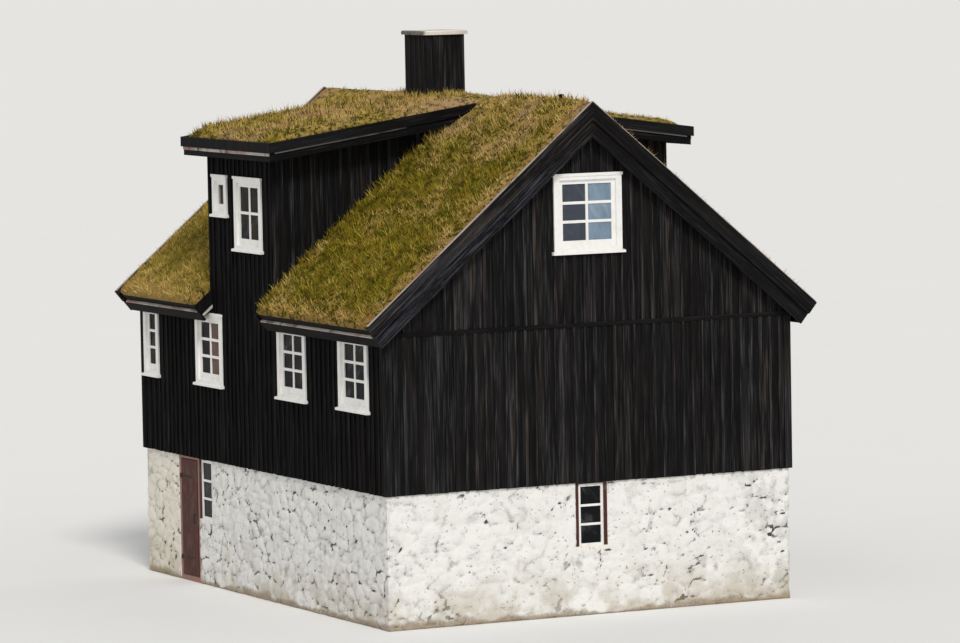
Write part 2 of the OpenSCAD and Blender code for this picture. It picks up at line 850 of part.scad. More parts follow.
chimney_cap();
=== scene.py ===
"""Looks of the turf house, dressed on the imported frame.

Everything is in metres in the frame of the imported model: X across the gables, Y along the
ridge, Z up from the lowest ground. The photographed gable faces -Y and the long side with
the basement door faces -X.
"""
import logging
import math
import random
from dataclasses import dataclass
from enum import Enum
from functools import lru_cache
from typing import Any, Iterable, Iterator, Sequence, Union

import bmesh
import bpy
from mathutils import Matrix, Vector, noise


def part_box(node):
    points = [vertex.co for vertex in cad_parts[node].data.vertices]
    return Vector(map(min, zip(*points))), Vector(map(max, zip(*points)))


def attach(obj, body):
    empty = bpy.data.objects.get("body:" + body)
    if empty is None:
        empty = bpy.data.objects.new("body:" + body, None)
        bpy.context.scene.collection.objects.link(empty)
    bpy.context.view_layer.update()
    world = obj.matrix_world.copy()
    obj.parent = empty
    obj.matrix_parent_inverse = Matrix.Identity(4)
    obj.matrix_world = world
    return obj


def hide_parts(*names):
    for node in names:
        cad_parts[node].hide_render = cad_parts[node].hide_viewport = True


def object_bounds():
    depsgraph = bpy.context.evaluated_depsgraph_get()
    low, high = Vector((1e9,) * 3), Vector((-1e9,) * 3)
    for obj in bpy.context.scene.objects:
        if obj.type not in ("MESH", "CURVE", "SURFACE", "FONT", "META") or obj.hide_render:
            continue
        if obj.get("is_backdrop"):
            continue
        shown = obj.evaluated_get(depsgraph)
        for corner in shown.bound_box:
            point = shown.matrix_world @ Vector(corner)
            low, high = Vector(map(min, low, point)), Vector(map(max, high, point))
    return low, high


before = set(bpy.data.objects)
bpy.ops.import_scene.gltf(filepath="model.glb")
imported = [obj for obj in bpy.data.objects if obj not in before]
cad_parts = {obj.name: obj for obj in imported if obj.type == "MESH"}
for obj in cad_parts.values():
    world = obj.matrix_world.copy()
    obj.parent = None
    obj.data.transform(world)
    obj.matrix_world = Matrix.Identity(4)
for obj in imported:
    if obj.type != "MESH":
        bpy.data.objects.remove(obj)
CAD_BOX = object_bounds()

log = logging.getLogger("turf_house")

Rgb = tuple[float, float, float]
Span = tuple[float, float]
Number = Union[float, "Val"]
Place = tuple["Val", "Val", "Val"]
Shape = bmesh.types.BMesh

# Places of the house, found from its CAD nodes


def low_of(node: str) -> list[float]:
    """A CAD node's lowest corner, to a tenth of a millimetre."""
    return [round(v, 4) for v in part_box(node)[0]]


def top_of(node: str) -> list[float]:
    """A CAD node's highest corner, to a tenth of a millimetre."""
    return [round(v, 4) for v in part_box(node)[1]]


def ends_of(node: str) -> Span:
    """Where a CAD node starts and ends along the ridge."""
    return low_of(node)[1], top_of(node)[1]


HALF_W, HALF_L = top_of("back_wall")[:2]
RUBBLE_X, RUBBLE_Y, SILL_Z = top_of("basement_back_wall")
PLATE_Z = top_of("gable_trims")[2]
TIP_X, TIP_Y, RIDGE_Z = top_of("bargeboards_back")
ROOF_PITCH = math.radians(40)
ROOF_T = 0.31
DORMER_PITCH = math.radians(8)
DORMER_T = 0.25
DORMER_Y = ends_of("dormer_front_right")
DORMER_TIP_X = top_of("dormer_bargeboards_right")[0]
DORMER_TIP_Y = ends_of("dormer_bargeboards_right")
EDGE_BOARD = 0.035
CHIMNEY_HALF, CHIMNEY_END, STACK_TOP = top_of("chimney_boarding")
SASH_FOOT_Z = low_of("basement_window_sashes")[2]
DOORWAY_Y = ends_of("basement_door_frame")
LEAF_X = -3.18
BOTH = (-1.0, 1.0)
UPPER_GLASS = ("gable_window_glass", "side_window_glass", "dormer_window_glass")
CELLAR_GLASS = "basement_window_glass"


def roof_z(x: float, lift: float) -> float:
    """Height of the main roof at a distance x from the ridge, lift above the rafters' underside."""
    return PLATE_Z + (HALF_W - x) * math.tan(ROOF_PITCH) + lift / math.cos(ROOF_PITCH)


def dormer_z(x: float, lift: float) -> float:
    """Height of a dormer roof at a distance x from the ridge, lift above its rafters' underside."""
    return RIDGE_Z - x * math.tan(DORMER_PITCH) - (DORMER_T - lift) / math.cos(DORMER_PITCH)


def edge_x(lift: float, back: float = 0.0) -> float:
    """Distance from the ridge of the main roof's square-cut edge at a lift, back in from it."""
    return TIP_X - (ROOF_T - lift) * math.sin(ROOF_PITCH) - back * math.cos(ROOF_PITCH)


def smoothstep(low: float, high: float, value: float) -> float:
    """Eases from 0 to 1 as value goes from low to high."""
    t = min(1.0, max(0.0, (value - low) / (high - low)))
    return t * t * (3 - 2 * t)


# Shader maths


class Graph:
    """A node tree and the one method that adds a node to it."""

    def __init__(self, tree: bpy.types.NodeTree) -> None:
        """Wraps a tree."""
        self.tree = tree

    def add(self, kind: str, settings: dict[str, Any] | None = None,
            sockets: dict[Any, Any] | None = None) -> bpy.types.Node:
        """Adds a node.

        Args:
            kind: The node's type.
            settings: Its properties, set first.
            sockets: A number, colour, name or link for each input, by name or number.

        Returns:
            The new node.
        """
        node = self.tree.nodes.new(kind)
        for name, value in (settings or {}).items():
            setattr(node, name, value)
        for key, value in (sockets or {}).items():
            socket = node.inputs[key] if isinstance(key, int) else next(
                s for s in node.inputs if s.enabled and s.name == key)
            if isinstance(value, Val):
                value = value.socket
            if isinstance(value, bpy.types.NodeSocket):
                self.tree.links.new(value, socket)
            else:
                socket.default_value = (*value, 1.0) if socket.type == "RGBA" else value
        return node

    def value(self, kind: str, settings: dict[str, Any] | None = None,
              sockets: dict[Any, Any] | None = None) -> "Val":
        """Adds a node as add does and returns its first output, ready for arithmetic."""
        node = self.add(kind, settings, sockets)
        return Val(self, next(s for s in node.outputs if s.enabled))

    def math(self, operation: str, *terms: Number) -> "Val":
        """Adds one Math node on the terms."""
        return self.value("ShaderNodeMath", {"operation": operation}, dict(enumerate(terms)))


class Val:
    """A socket in an expression. Arithmetic on it adds Math nodes."""

    def __init__(self, graph: Graph, socket: bpy.types.NodeSocket) -> None:
        """Wraps a socket of a graph."""
        self.graph = graph
        self.socket = socket

    def __add__(self, other: Number) -> "Val":
        """self + other."""
        return self.graph.math("ADD", self, other)

    def __radd__(self, other: Number) -> "Val":
        """other + self."""
        return self.graph.math("ADD", other, self)

    def __sub__(self, other: Number) -> "Val":
        """self - other."""
        return self.graph.math("SUBTRACT", self, other)

    def __rsub__(self, other: Number) -> "Val":
        """other - self."""
        return self.graph.math("SUBTRACT", other, self)

    def __mul__(self, other: Number) -> "Val":
        """self * other."""
        return self.graph.math("MULTIPLY", self, other)

    def __rmul__(self, other: Number) -> "Val":
        """other * self."""
        return self.graph.math("MULTIPLY", other, self)

    def __abs__(self) -> "Val":
        """Size without sign."""
        return self.graph.math("ABSOLUTE", self)

    def ease(self, low: float, high: float) -> "Val":
        """Eases from 0 to 1.

        Args:
            low: Where it is 0.
            high: Where it is 1, above low or below it.

        Returns:
            The eased value.
        """
        if low > high:
            return 1.0 - self.ease(high, low)
        return self.graph.value("ShaderNodeMapRange", {"interpolation_type": "SMOOTHSTEP"},
                                {"Value": self, "From Min": low, "From Max": high})

    def least(self, other: Number) -> "Val":
        """The lesser of the two."""
        return self.graph.math("MINIMUM", self, other)

    def greatest(self, other: Number) -> "Val":
        """The greater of the two."""
        return self.graph.math("MAXIMUM", self, other)


class Shader(Graph):
    """The node tree of one material."""

    def __init__(self, label: str) -> None:
        """Starts an empty material.

        Args:
            label: The material's name.
        """
        self.material = bpy.data.materials.new(label)
        self.material.use_nodes = True
        super().__init__(self.material.node_tree)
        self.tree.nodes.clear()

    def place(self) -> Place:
        """Reads where the point lies.

        Returns:
            Its X, Y and Z in the house's frame.
        """
        where = self.add("ShaderNodeTexCoord").outputs["Object"]
        parts = self.add("ShaderNodeSeparateXYZ", None, {"Vector": where})
        return tuple(Val(self, s) for s in parts.outputs)

    def attribute(self, name: str) -> Val:
        """A number stored on the mesh, 0 where the mesh has none."""
        return Val(self, self.add("ShaderNodeAttribute", {"attribute_name": name}).outputs["Fac"])

    def point(self, u: Number, v: Number, w: Number) -> Val:
        """The vector (u, v, w)."""
        return self.value("ShaderNodeCombineXYZ", None, {0: u, 1: v, 2: w})

    def noise(self, u: Number, v: Number, w: Number, detail: float) -> Val:
        """Noise at (u, v, w), about 0.5."""
        return self.value("ShaderNodeTexNoise", None,
                          {"Vector": self.point(u, v, w), "Scale": 1.0, "Detail": detail})

    def cloud(self, place: Place, across: float, along: float | None = None, detail: float = 3.0,
              shift: Val | None = None) -> Val:
        """Noise of a given fineness, about 0.5.

        Args:
            place: The point.
            across: Patches to a metre.
            along: Patches to a metre on the last coordinate, or None where it has no grain.
            detail: How many finer layers it has.
            shift: What moves the last coordinate, such as a board's own shade.

        Returns:
            The noise.
        """
        u, v, w = place[0] * across, place[1] * across, place[2] * (along or across)
        return self.noise(u, v, w if shift is None else w + shift, detail)

    def mix(self, factor: Number, first: Any, second: Any) -> Val:
        """Colour between first and second."""
        return self.value("ShaderNodeMix", {"data_type": "RGBA"},
                          {"Factor": factor, "A": first, "B": second})

    def coats(self, colour: Any, *layers: tuple[Number, Any]) -> Any:
        """Lays coats over a colour.

        Args:
            colour: The first colour.
            layers: A cover from 0 to 1 and a colour for each coat.

        Returns:
            The colour that shows.
        """
        for cover, coat in layers:
            colour = self.mix(cover, colour, coat)
        return colour

    def surface(self, colour: Any, rough: Number, relief: Number | None = None, depth: float = 0.0,
                gloss: float = 0.5, **more: Number) -> None:
        """Closes the material.

        Args:
            colour: Its colour.
            rough: Its roughness.
            relief: Height of the surface from 0 to 1, or None where it is smooth.
            depth: Height in metres that 1 of the relief stands for.
            gloss: Its specular level.
            more: Other inputs of the Principled shader, with _ for each space.
        """
        sockets = {"Base Color": colour, "Roughness": rough, "Specular IOR Level": gloss}
        sockets.update({name.replace("_", " "): value for name, value in more.items()})
        if relief is not None:
            sockets["Normal"] = self.value("ShaderNodeBump", None, {"Height": relief, "Distance": depth})
        shine = self.value("ShaderNodeBsdfPrincipled", None, sockets)
        self.add("ShaderNodeOutputMaterial", None, {"Surface": shine})


# Finishes


@dataclass(frozen=True)
class Finish:
    """Base of the finishes."""

    label: str

    def paint(self, s: Shader) -> None:
        """Lays the finish's nodes into an empty material."""
        raise NotImplementedError


@lru_cache(maxsize=None)
def material_of(finish: Finish) -> bpy.types.Material:
    """Makes a finish's material once.

    Args:
        finish: The finish.

    Returns:
        Its material.
    """
    shader = Shader(finish.label)
    finish.paint(shader)
    return shader.material


class Grain(Enum):
    """Direction in which a board's grain runs."""

    UPRIGHT = "upright"
    ALONG_RIDGE = "along the ridge"
    ACROSS = "across the gable"
    DOWN_ROOF = "down the main roof"
    DOWN_DORMER = "down the dormer roof"

    def turn(self, place: Place) -> Place:
        """Turns a place so that its last coordinate runs with the grain.

        Args:
            place: The point in the house's frame.

        Returns:
            The turned coordinates.
        """
        x, y, z = place
        if self is Grain.UPRIGHT:
            return place
        if self is Grain.ALONG_RIDGE:
            return x, z, y
        if self is Grain.ACROSS:
            return z, y, x
        pitch = ROOF_PITCH if self is Grain.DOWN_ROOF else DORMER_PITCH
        out, rise = math.cos(pitch), math.sin(pitch)
        side = abs(x)
        return side * rise + z * out, y, side * out - z * rise


@dataclass(frozen=True)
class TarredBoards(Finish):
    """Old tar on rough boards, worn to grey and brown in streaks along the grain."""

    grain: Grain
    wear: float = 0.5
    tar: Rgb = (0.0042, 0.0039, 0.0041)
    worn: Rgb = (0.062, 0.053, 0.048)
    grey: Rgb = (0.055, 0.056, 0.062)
    thin: Rgb = (0.012, 0.0108, 0.0108)
    gloss: float = 0.06

    def paint(self, s: Shader) -> None:
        """Tar, broad and fine streaks, and the boards' own shades.

        Args:
            s: The material's nodes.
        """
        place = s.place()
        p = self.grain.turn(place)
        board = s.attribute("shade")
        broad = s.cloud(p, 6.0, 0.6, 2.0, board * 9.0)
        fine = s.cloud(p, 46.0, 1.7, 4.0, board * 30.0)
        hair = s.cloud(p, 230.0, 8.0)
        worn = (broad.ease(0.45, 0.75) * 0.40 + fine.ease(0.46, 0.74) * 0.95) * self.wear
        worn = worn * (0.22 + board * 1.15) * (0.72 + hair * 0.56) + hair.ease(0.52, 0.8) * 0.20 * self.wear
        if self.grain is Grain.DOWN_ROOF:
            worn = worn * (0.25 + place[0].ease(0.1, -0.1) * 0.75)
        kind = s.cloud(p, 3.1, 0.35, 1.0, board * 5.0).ease(0.38, 0.62)
        tone = s.mix(kind, self.worn, self.grey)
        tarred = s.mix(board * 0.5 * self.wear, self.tar, self.thin)
        s.surface(s.mix(worn, tarred, tone), 0.70 + worn * 0.25, fine * 0.7 + hair * 0.3, 0.003, self.gloss)


@dataclass(frozen=True)
class TimberWall(Finish):
    """A timber wall: tarred outside, bare planks inside."""

    plank: Rgb = (0.27, 0.20, 0.13)
    pale: Rgb = (0.36, 0.28, 0.19)
    tar: Rgb = (0.0042, 0.0039, 0.0041)
    worn: Rgb = (0.05, 0.043, 0.039)
    depth: float = 0.13

    def paint(self, s: Shader) -> None:
        """Tar on the outer skin and planks wherever the face looks into a room.

        Args:
            s: The material's nodes.
        """
        x, y, _ = p = s.place()
        skin_x, skin_y = HALF_W - self.depth, HALF_L - self.depth
        inside = abs(x).ease(skin_x, skin_x - 0.01) * abs(y).ease(skin_y, skin_y - 0.01)
        streak = s.cloud(p, 40.0, 1.5, 4.0)
        tarred = s.mix(streak.ease(0.45, 0.8) * 0.3, self.tar, self.worn)
        bare = s.mix(streak, self.plank, self.pale)
        s.surface(s.mix(inside, tarred, bare), 0.7 + streak * 0.2, streak, 0.003, 0.06)


@dataclass(frozen=True)
class Whitewash(Finish):
    """Lime wash on field stones, with open joints, dark pits and soil low down."""

    lime: Rgb = (0.865, 0.855, 0.825)
    stone: Rgb = (0.77, 0.76, 0.73)
    mottled: Rgb = (0.66, 0.635, 0.58)
    grey: Rgb = (0.60, 0.60, 0.58)
    cream: Rgb = (0.80, 0.735, 0.57)
    thin: Rgb = (0.52, 0.51, 0.48)
    joint: Rgb = (0.36, 0.345, 0.32)
    dot: Rgb = (0.085, 0.080, 0.078)
    pit: Rgb = (0.030, 0.028, 0.027)
    damp: Rgb = (0.42, 0.36, 0.25)
    soil: Rgb = (0.21, 0.145, 0.085)
    dust: Rgb = (0.34, 0.26, 0.17)
    cream_y: Span = (2.75, 3.1)
    thin_x: Span = (2.1, 2.9)
    damp_z: Span = (0.85, 0.0)

    def paint(self, s: Shader) -> None:
        """Lime, joints, pits, damp and soil, with painted shade on the long sides.

        Args:
            s: The material's nodes.
        """
        x, y, z = p = s.place()
        open_joint = s.attribute("joint")
        mottle = s.cloud(p, 3.0, detail=4.0)
        speck = s.cloud(p, 34.0)
        patch = s.cloud(p, 7.0)
        grit = s.cloud(p, 62.0, detail=4.0)
        # Painted shade: both long sides, as sides in shade, get more grey mottle and darker joints.
        long_side_shade = abs(x).ease(RUBBLE_X - 0.06, RUBBLE_X)
        thin = x.ease(*self.thin_x) * (mottle * 0.5 + patch * 0.5).ease(0.42, 0.58)
        crack = open_joint * (0.08 + patch.ease(0.47, 0.64) * 0.80 + long_side_shade * 0.22)
        crack = crack * grit.ease(0.25, 0.6) + speck.ease(0.60, 0.74) * 0.32
        dots = s.noise(x * 19.0 + 7.0, y * 19.0, z * 23.0, 2.0).ease(0.655, 0.73) * grit.ease(0.30, 0.55)
        pit = s.attribute("pit") * 1.25 + patch.ease(0.62, 0.66) * speck.ease(0.50, 0.62) * 0.5
        pit = (pit + open_joint * speck.ease(0.58, 0.72) * 0.35 + (grit - 0.5) * 1.5 - 0.16).ease(0.30, 0.72)
        filled = s.noise(x * 5.0 + 3.0, y * 5.0, z * 5.0, 1.0).ease(0.40, 0.62)
        lime = s.coats(self.lime,
                       (s.attribute("stone") * 0.45, self.stone),
                       (mottle.ease(0.48, 0.75) * 0.45, self.mottled),
                       (patch.ease(0.46, 0.70) * (0.34 + long_side_shade * 0.25), self.grey),
                       (x.ease(-1.2, -3.0) * y.ease(*self.cream_y) * 0.55, self.cream),
                       (thin * 0.45, self.thin),
                       (crack.least(0.95), self.joint),
                       (dots * (0.35 + mottle * 0.8), self.dot),
                       (pit * (0.96 - filled * 0.50), self.pit),
                       (z.ease(*self.damp_z) * mottle.ease(0.36, 0.60) * 0.55, self.damp))
        bare = (s.attribute("bare") * (0.25 + speck * 0.9 + patch * 0.7)).ease(0.25, 1.15)
        soil = s.mix(patch.ease(0.4, 0.6), self.soil, self.dust)
        relief = speck * 0.5 + patch * 0.4 + grit * 0.35 - pit * 0.6
        s.surface(s.mix(bare * 0.85, lime, soil), 0.88, relief, 0.007, 0.3)


@dataclass(frozen=True)
class Turf(Finish):
    """Rough grass over sod, green on the slopes and gone to straw at ridge and edges."""

    blades: bool = False
    green: Rgb = (0.180, 0.160, 0.010)
    olive: Rgb = (0.335, 0.235, 0.022)
    straw: Rgb = (0.68, 0.475, 0.125)
    pink: Rgb = (0.67, 0.43, 0.22)
    lush: Rgb = (0.40, 0.355, 0.034)
    tip: Rgb = (0.62, 0.475, 0.17)
    gold: Rgb = (0.60, 0.45, 0.11)
    earth: Rgb = (0.40, 0.20, 0.07)
    shadow: Rgb = (0.022, 0.019, 0.005)
    verge_y: Span = (3.85, 4.4)
    eaves_z: Span = (4.60, 4.28)
    high_z: Span = (5.9, 7.2)
    far_y: Span = (1.4, 2.2)
    far_z: Span = (6.3, 5.9)

    def paint(self, s: Shader) -> None:
        """Patches of colour by place, a tone of its own for each tuft, and painted shade in the gaps between
        tufts.

        Args:
            s: The material's nodes.
        """
        _, y, z = p = s.place()
        tuft = s.attribute("tint") if self.blades else s.cloud(p, 30.0)
        field = s.cloud(p, 1.3)
        patch = s.cloud(p, 4.5)
        spot = s.cloud(p, 13.0, detail=2.0)
        verge = abs(y).ease(*self.verge_y) + z.ease(*self.eaves_z)
        high = z.ease(*self.high_z)
        far = y.ease(*self.far_y) * z.ease(*self.far_z)
        dry = field.ease(0.42, 0.68) * 0.42 + patch.ease(0.45, 0.75) * 0.30 + high * 0.60 + verge * 0.42
        dry = dry + far * 0.30 + (spot - 0.5) * 1.1 + (tuft - 0.5) * 0.9
        rosy = field.ease(0.42, 0.66) * (0.3 + high * 0.7)
        shade = (spot - 0.5) * 2.0 + (tuft - 0.5) * 1.4
        colour = s.coats(self.green,
                         ((patch + (tuft - 0.5) * 0.5).ease(0.35, 0.6), self.olive),
                         (dry.ease(0.30, 1.0), s.mix(rosy, self.straw, self.pink)),
                         (shade.ease(0.12, 0.62) * 0.66, s.mix(dry.ease(0.4, 0.9), self.lush, self.tip)),
                         (far * 0.30, self.gold))
        # Painted shade: tufts are darkened at random towards the shadow colour for the shaded gaps in the
        # grass, less on the far slope.
        dark = shade.ease(0.05, -0.5) * (0.70 - far * 0.35)
        # Painted shade: the bare sod under the grass is darkened further towards the shadow colour.
        if not self.blades:
            dark = dark + 0.45
            colour = s.mix(verge * (0.35 + (spot - 0.5) * 2.4), colour, self.earth)
        relief = None if self.blades else spot * 0.5 + tuft * 0.5
        s.surface(s.mix(dark.least(0.9), colour, self.shadow), 0.9, relief, 0.02, 0.05)


@dataclass(frozen=True)
class Paint(Finish):
    """Brushed oil paint on wood, rubbed and stained by the weather."""

    colour: Rgb
    under: Rgb
    stain: Rgb
    wear: float = 0.3
    gloss: float = 0.5
    limed: bool = False
    lime: Rgb = (0.86, 0.83, 0.77)

    def paint(self, s: Shader) -> None:
        """Paint with brush marks, stains and bare spots, and lime lapped over a frame's foot.

        Args:
            s: The material's nodes.
        """
        x, y, z = p = s.place()
        brush = s.cloud(p, 55.0, 5.0)
        spot = s.cloud(p, 9.0, 6.0, 4.0)
        flake = s.cloud(p, 80.0, 40.0)
        body = s.mix(spot.ease(0.42, 0.75) * 0.55, self.colour, self.stain)
        gone = (flake * 0.5 + spot * 0.5).ease(0.68 - 0.22 * self.wear, 0.74 - 0.18 * self.wear) * self.wear
        if self.limed:
            foot = z.ease(SASH_FOOT_Z + 0.002, SASH_FOOT_Z)
            beside = x.ease(-3.0, -3.02) * y.ease(DOORWAY_Y[0] - 0.25, DOORWAY_Y[0] - 0.27)
            body = s.mix(foot.greatest(beside) * (1.25 - flake * 0.5), body, self.lime)
        s.surface(s.mix(gone * 1.4, body, self.under), 0.42 + brush * 0.2 + gone * 0.3,
                  brush - gone, 0.0012, self.gloss)


@dataclass(frozen=True)
class DoorPaint(Paint):
    """The door's worn red paint, with its straps and pull in dark iron."""

    iron: Rgb = (0.035, 0.028, 0.026)
    rust: Rgb = (0.13, 0.055, 0.03)

    def paint(self, s: Shader) -> None:
        """Paint on the leaf, and iron on what stands out from its face.

        Args:
            s: The material's nodes.
        """
        p = s.place()
        streak = s.cloud(p, 50.0, 3.0)
        spot = s.cloud(p, 9.0, 7.0, 4.0)
        wood = s.coats(self.colour, (streak.ease(0.45, 0.75), self.stain),
                       (spot.ease(0.55, 0.75) * self.wear, self.under))
        metal = p[0].ease(LEAF_X - 0.0005, LEAF_X - 0.0015)
        iron = s.mix(spot.ease(0.45, 0.7), self.iron, self.rust)
        colour = s.mix(metal, wood, iron)
        s.surface(colour, 0.55 + streak * 0.25, streak * 0.6 + spot * 0.4, 0.0015, self.gloss)


@dataclass(frozen=True)
class WeatheredWood(Finish):
    """Bare wood left to the rain: pale, streaked and broken by dark gaps."""

    grain: Grain
    pale: Rgb = (0.50, 0.46, 0.41)
    dark: Rgb = (0.10, 0.085, 0.075)
    rust: Rgb = (0.33, 0.17, 0.12)
    gaps: float = 0.5

    def paint(self, s: Shader) -> None:
        """Pale wood with dark runs and a rusty cast here and there.

        Args:
            s: The material's nodes.
        """
        p = self.grain.turn(s.place())
        fine = s.cloud(p, 70.0, 3.0, 4.0)
        run = s.cloud(p, 2.0, 3.2)
        cast = s.cloud(p, 1.5, 1.1, 2.0)
        wood = s.mix(cast.ease(0.45, 0.6) * 0.8, self.pale, self.rust)
        worn = run.ease(0.62 - 0.14 * self.gaps, 0.66) * 0.85 + fine.ease(0.45, 0.75) * 0.35
        s.surface(s.mix(worn.least(0.9), wood, self.dark), 0.8 + fine * 0.1, fine, 0.002)


@dataclass(frozen=True)
class Planks(Finish):
    """Sawn boards indoors and under the roof, laid side by side."""

    grain: Grain
    width: float = 0.14
    light: Rgb = (0.34, 0.26, 0.17)
    deep: Rgb = (0.20, 0.145, 0.09)
    slit: Rgb = (0.02, 0.016, 0.012)

    def paint(self, s: Shader) -> None:
        """Boards with their joints, each of its own shade.

        Args:
            s: The material's nodes.
        """
        u, _, w = p = self.grain.turn(s.place())
        across = u * (1.0 / self.width)
        board = s.math("FLOOR", across)
        shade = s.noise(board * 3.7, board * 1.9, w * 0.1, 1.0)
        fine = s.cloud(p, 60.0, 2.5, 4.0, board * 3.1)
        joint = abs(s.math("FRACT", across) - 0.5).ease(0.48, 0.5)
        wood = s.coats(self.light, (fine.ease(0.35, 0.7), self.deep), (shade * 0.5, self.deep),
                       (joint * 0.85, self.slit))
        s.surface(wood, 0.65 + fine * 0.2, fine * 0.4 - joint, 0.003)


@dataclass(frozen=True)
class Stonework(Finish):
    """Paving, rough masonry or a slab: stone in two tones with open joints."""

    light: Rgb
    deep: Rgb
    cell: float = 2.4
    joints: float = 1.0
    # Whether a slab's left end gets painted shade.
    shaded_left_end: bool = False
    gap: Rgb = (0.03, 0.028, 0.024)
    # Colour of the painted shade on a slab's left end.
    left_end_shade: Rgb = (0.055, 0.05, 0.04)

    def paint(self, s: Shader) -> None:
        """Stones of uneven size, specks and joints, and painted shade in a dark mottle on a slab's left end.

        Args:
            s: The material's nodes.
        """
        p = s.place()
        edge = s.value("ShaderNodeTexVoronoi", {"feature": "DISTANCE_TO_EDGE"},
                       {"Vector": s.point(*p), "Scale": self.cell})
        tone = s.cloud(p, self.cell)
        speck = s.cloud(p, 45.0, detail=4.0)
        joint = edge.ease(0.06, 0.02) * self.joints
        body = s.coats(self.light, (tone.ease(0.35, 0.65), self.deep),
                       (speck.ease(0.5, 0.8) * 0.5, self.deep))
        # Painted shade: a slab's left end, its shaded side, is darkened in a mottle.
        if self.shaded_left_end:
            left_end_shade = p[0].ease(-0.30, -0.36) * 0.8 + speck.ease(0.45, 0.7) * 0.3
            left_end_shade = left_end_shade * p[0].ease(-0.10, -0.36)
            body = s.mix(left_end_shade, body, self.left_end_shade)
        s.surface(s.mix(joint, body, self.gap), 0.85, speck * 0.5 - joint, 0.006)


@dataclass(frozen=True)
class Pane(Finish):
    """Old window glass over a dim room: slate grey, with a painted sky reflection on one half of the upper
    gable windows and painted highlights.
    """

    slate: Rgb = (0.048, 0.055, 0.072)
    pale: Rgb = (0.075, 0.085, 0.11)
    black: Rgb = (0.0065, 0.0070, 0.0090)
    gloss: float = 0.10
    # Colour of the painted sky reflection.
    sky_reflection: Rgb = (0.235, 0.33, 0.43)
    brown: Rgb = (0.026, 0.020, 0.012)
    warm: Rgb = (0.26, 0.165, 0.13)
    # Colour of the painted highlights on the glass.
    painted_glint: Rgb = (0.42, 0.47, 0.52)
    loft_z: Span = (4.4, 4.6)
    warm_y: Span = (1.41, 1.69)
    small_y: float = 1.18
    small_z: float = 5.61

    def paint(self, s: Shader) -> None:
        """A slow drift of tone from pane to pane on smooth glass, a painted sky reflection and painted
        highlights, clearer before the curtains.

        Args:
            s: The material's nodes.
        """
        x, y, z = p = s.place()
        drift = s.cloud(p, 2.3, detail=2.0)
        smear = s.cloud(p, 14.0, 5.0, 2.0)
        loft = z.ease(*self.loft_z)
        gable = abs(y).ease(HALF_L - 0.1, HALF_L - 0.05)
        # Painted reflection: the sky's colour on one half of each upper gable window.
        sky = gable * (x * s.math("SIGN", y * -1.0)).ease(-0.03, 0.03) * loft
        warm = x.ease(-3.0, -3.02) * y.ease(self.warm_y[0] - 0.01, self.warm_y[0] + 0.01)
        warm = warm * y.ease(self.warm_y[1] + 0.01, self.warm_y[1] - 0.01)
        # Painted highlight: pale streaks on the glass, stronger where the sky is painted.
        shine = s.noise(x * 5.0 + z * 3.0, y * 5.0 + z * 3.0, z * 1.2, 2.0).ease(0.52, 0.72)
        tone = s.coats(self.black,
                       (drift.ease(0.48, 0.66) * z.ease(SILL_Z, SILL_Z + 0.1), self.brown),
                       (gable * loft, s.mix(smear * 0.8, self.slate, self.pale)),
                       (sky * (0.45 + smear * 0.7), self.sky_reflection),
                       (warm * (0.25 + smear * 0.6), self.warm),
                       (shine * (0.10 + sky * 0.35), self.painted_glint))
        small = z.ease(self.small_z - 0.01, self.small_z + 0.01) * abs(y - self.small_y).ease(0.20, 0.19)
        s.surface(tone, 0.05, smear, 0.0004, self.gloss, Alpha=0.92 - small * 0.64)


@dataclass(frozen=True)
class Cloth(Finish):
    """Thin faded curtain cloth in a plain weave."""

    colour: Rgb = (0.62, 0.36, 0.32)
    faded: Rgb = (0.76, 0.60, 0.54)
    threads: float = 2600.0

    def paint(self, s: Shader) -> None:
        """Weave of crossing threads, faded in folds.

        Args:
            s: The material's nodes.
        """
        _, y, z = p = s.place()
        weave = s.math("SINE", y * self.threads) * s.math("SINE", z * self.threads)
        fade = s.cloud(p, 9.0, 3.0).ease(0.4, 0.65)
        s.surface(s.mix(fade, self.colour, self.faded), 0.9, weave, 0.0003, Sheen_Weight=0.2)


@dataclass(frozen=True)
class Ground(Finish):
    """The studio's plain pale floor."""

    cool: Rgb = (0.86, 0.86, 0.85)
    warm: Rgb = (0.88, 0.88, 0.87)

    def paint(self, s: Shader) -> None:
        """Plain pale floor with a faint mottle."""
        x, y, z = s.place()
        s.surface(s.mix(s.noise(x * 0.4, y * 0.4, z, 2.0), self.cool, self.warm), 0.95, gloss=0.0)


TAR_UPRIGHT = TarredBoards("tarred_boards_upright", Grain.UPRIGHT, 0.92)
# The long walls' tar is darker and less worn than the gables': partly fresher tar, partly painted shade of
# the long sides.
TAR_LONG_SHADED = TarredBoards("tarred_boards_long_walls", Grain.UPRIGHT, 0.34, (0.0020, 0.0019, 0.0020),
                        gloss=0.03)
TAR_RIDGE = TarredBoards("tarred_boards_along_ridge", Grain.ALONG_RIDGE, 0.9)
TAR_ACROSS = TarredBoards("tarred_boards_across", Grain.ACROSS, 0.9)
TAR_ROOF = TarredBoards("tarred_bargeboards", Grain.DOWN_ROOF, 3.6, grey=(0.075, 0.080, 0.100))
TAR_DORMER = TarredBoards("tarred_dormer_edge", Grain.DOWN_DORMER, 1.3)
TIMBER = TimberWall("timber_wall")
LIME = Whitewash("whitewashed_rubble")
SOD = Turf("sod")
GRASS = Turf("grass", blades=True)
WHITE = Paint("white_window_paint", (0.88, 0.875, 0.85), (0.42, 0.36, 0.29), (0.76, 0.735, 0.67), 0.25)
RED_FRAME = Paint("red_frame_paint", (0.38, 0.155, 0.138), (0.27, 0.20, 0.16), (0.22, 0.085, 0.075),
                  1.0, 0.25)
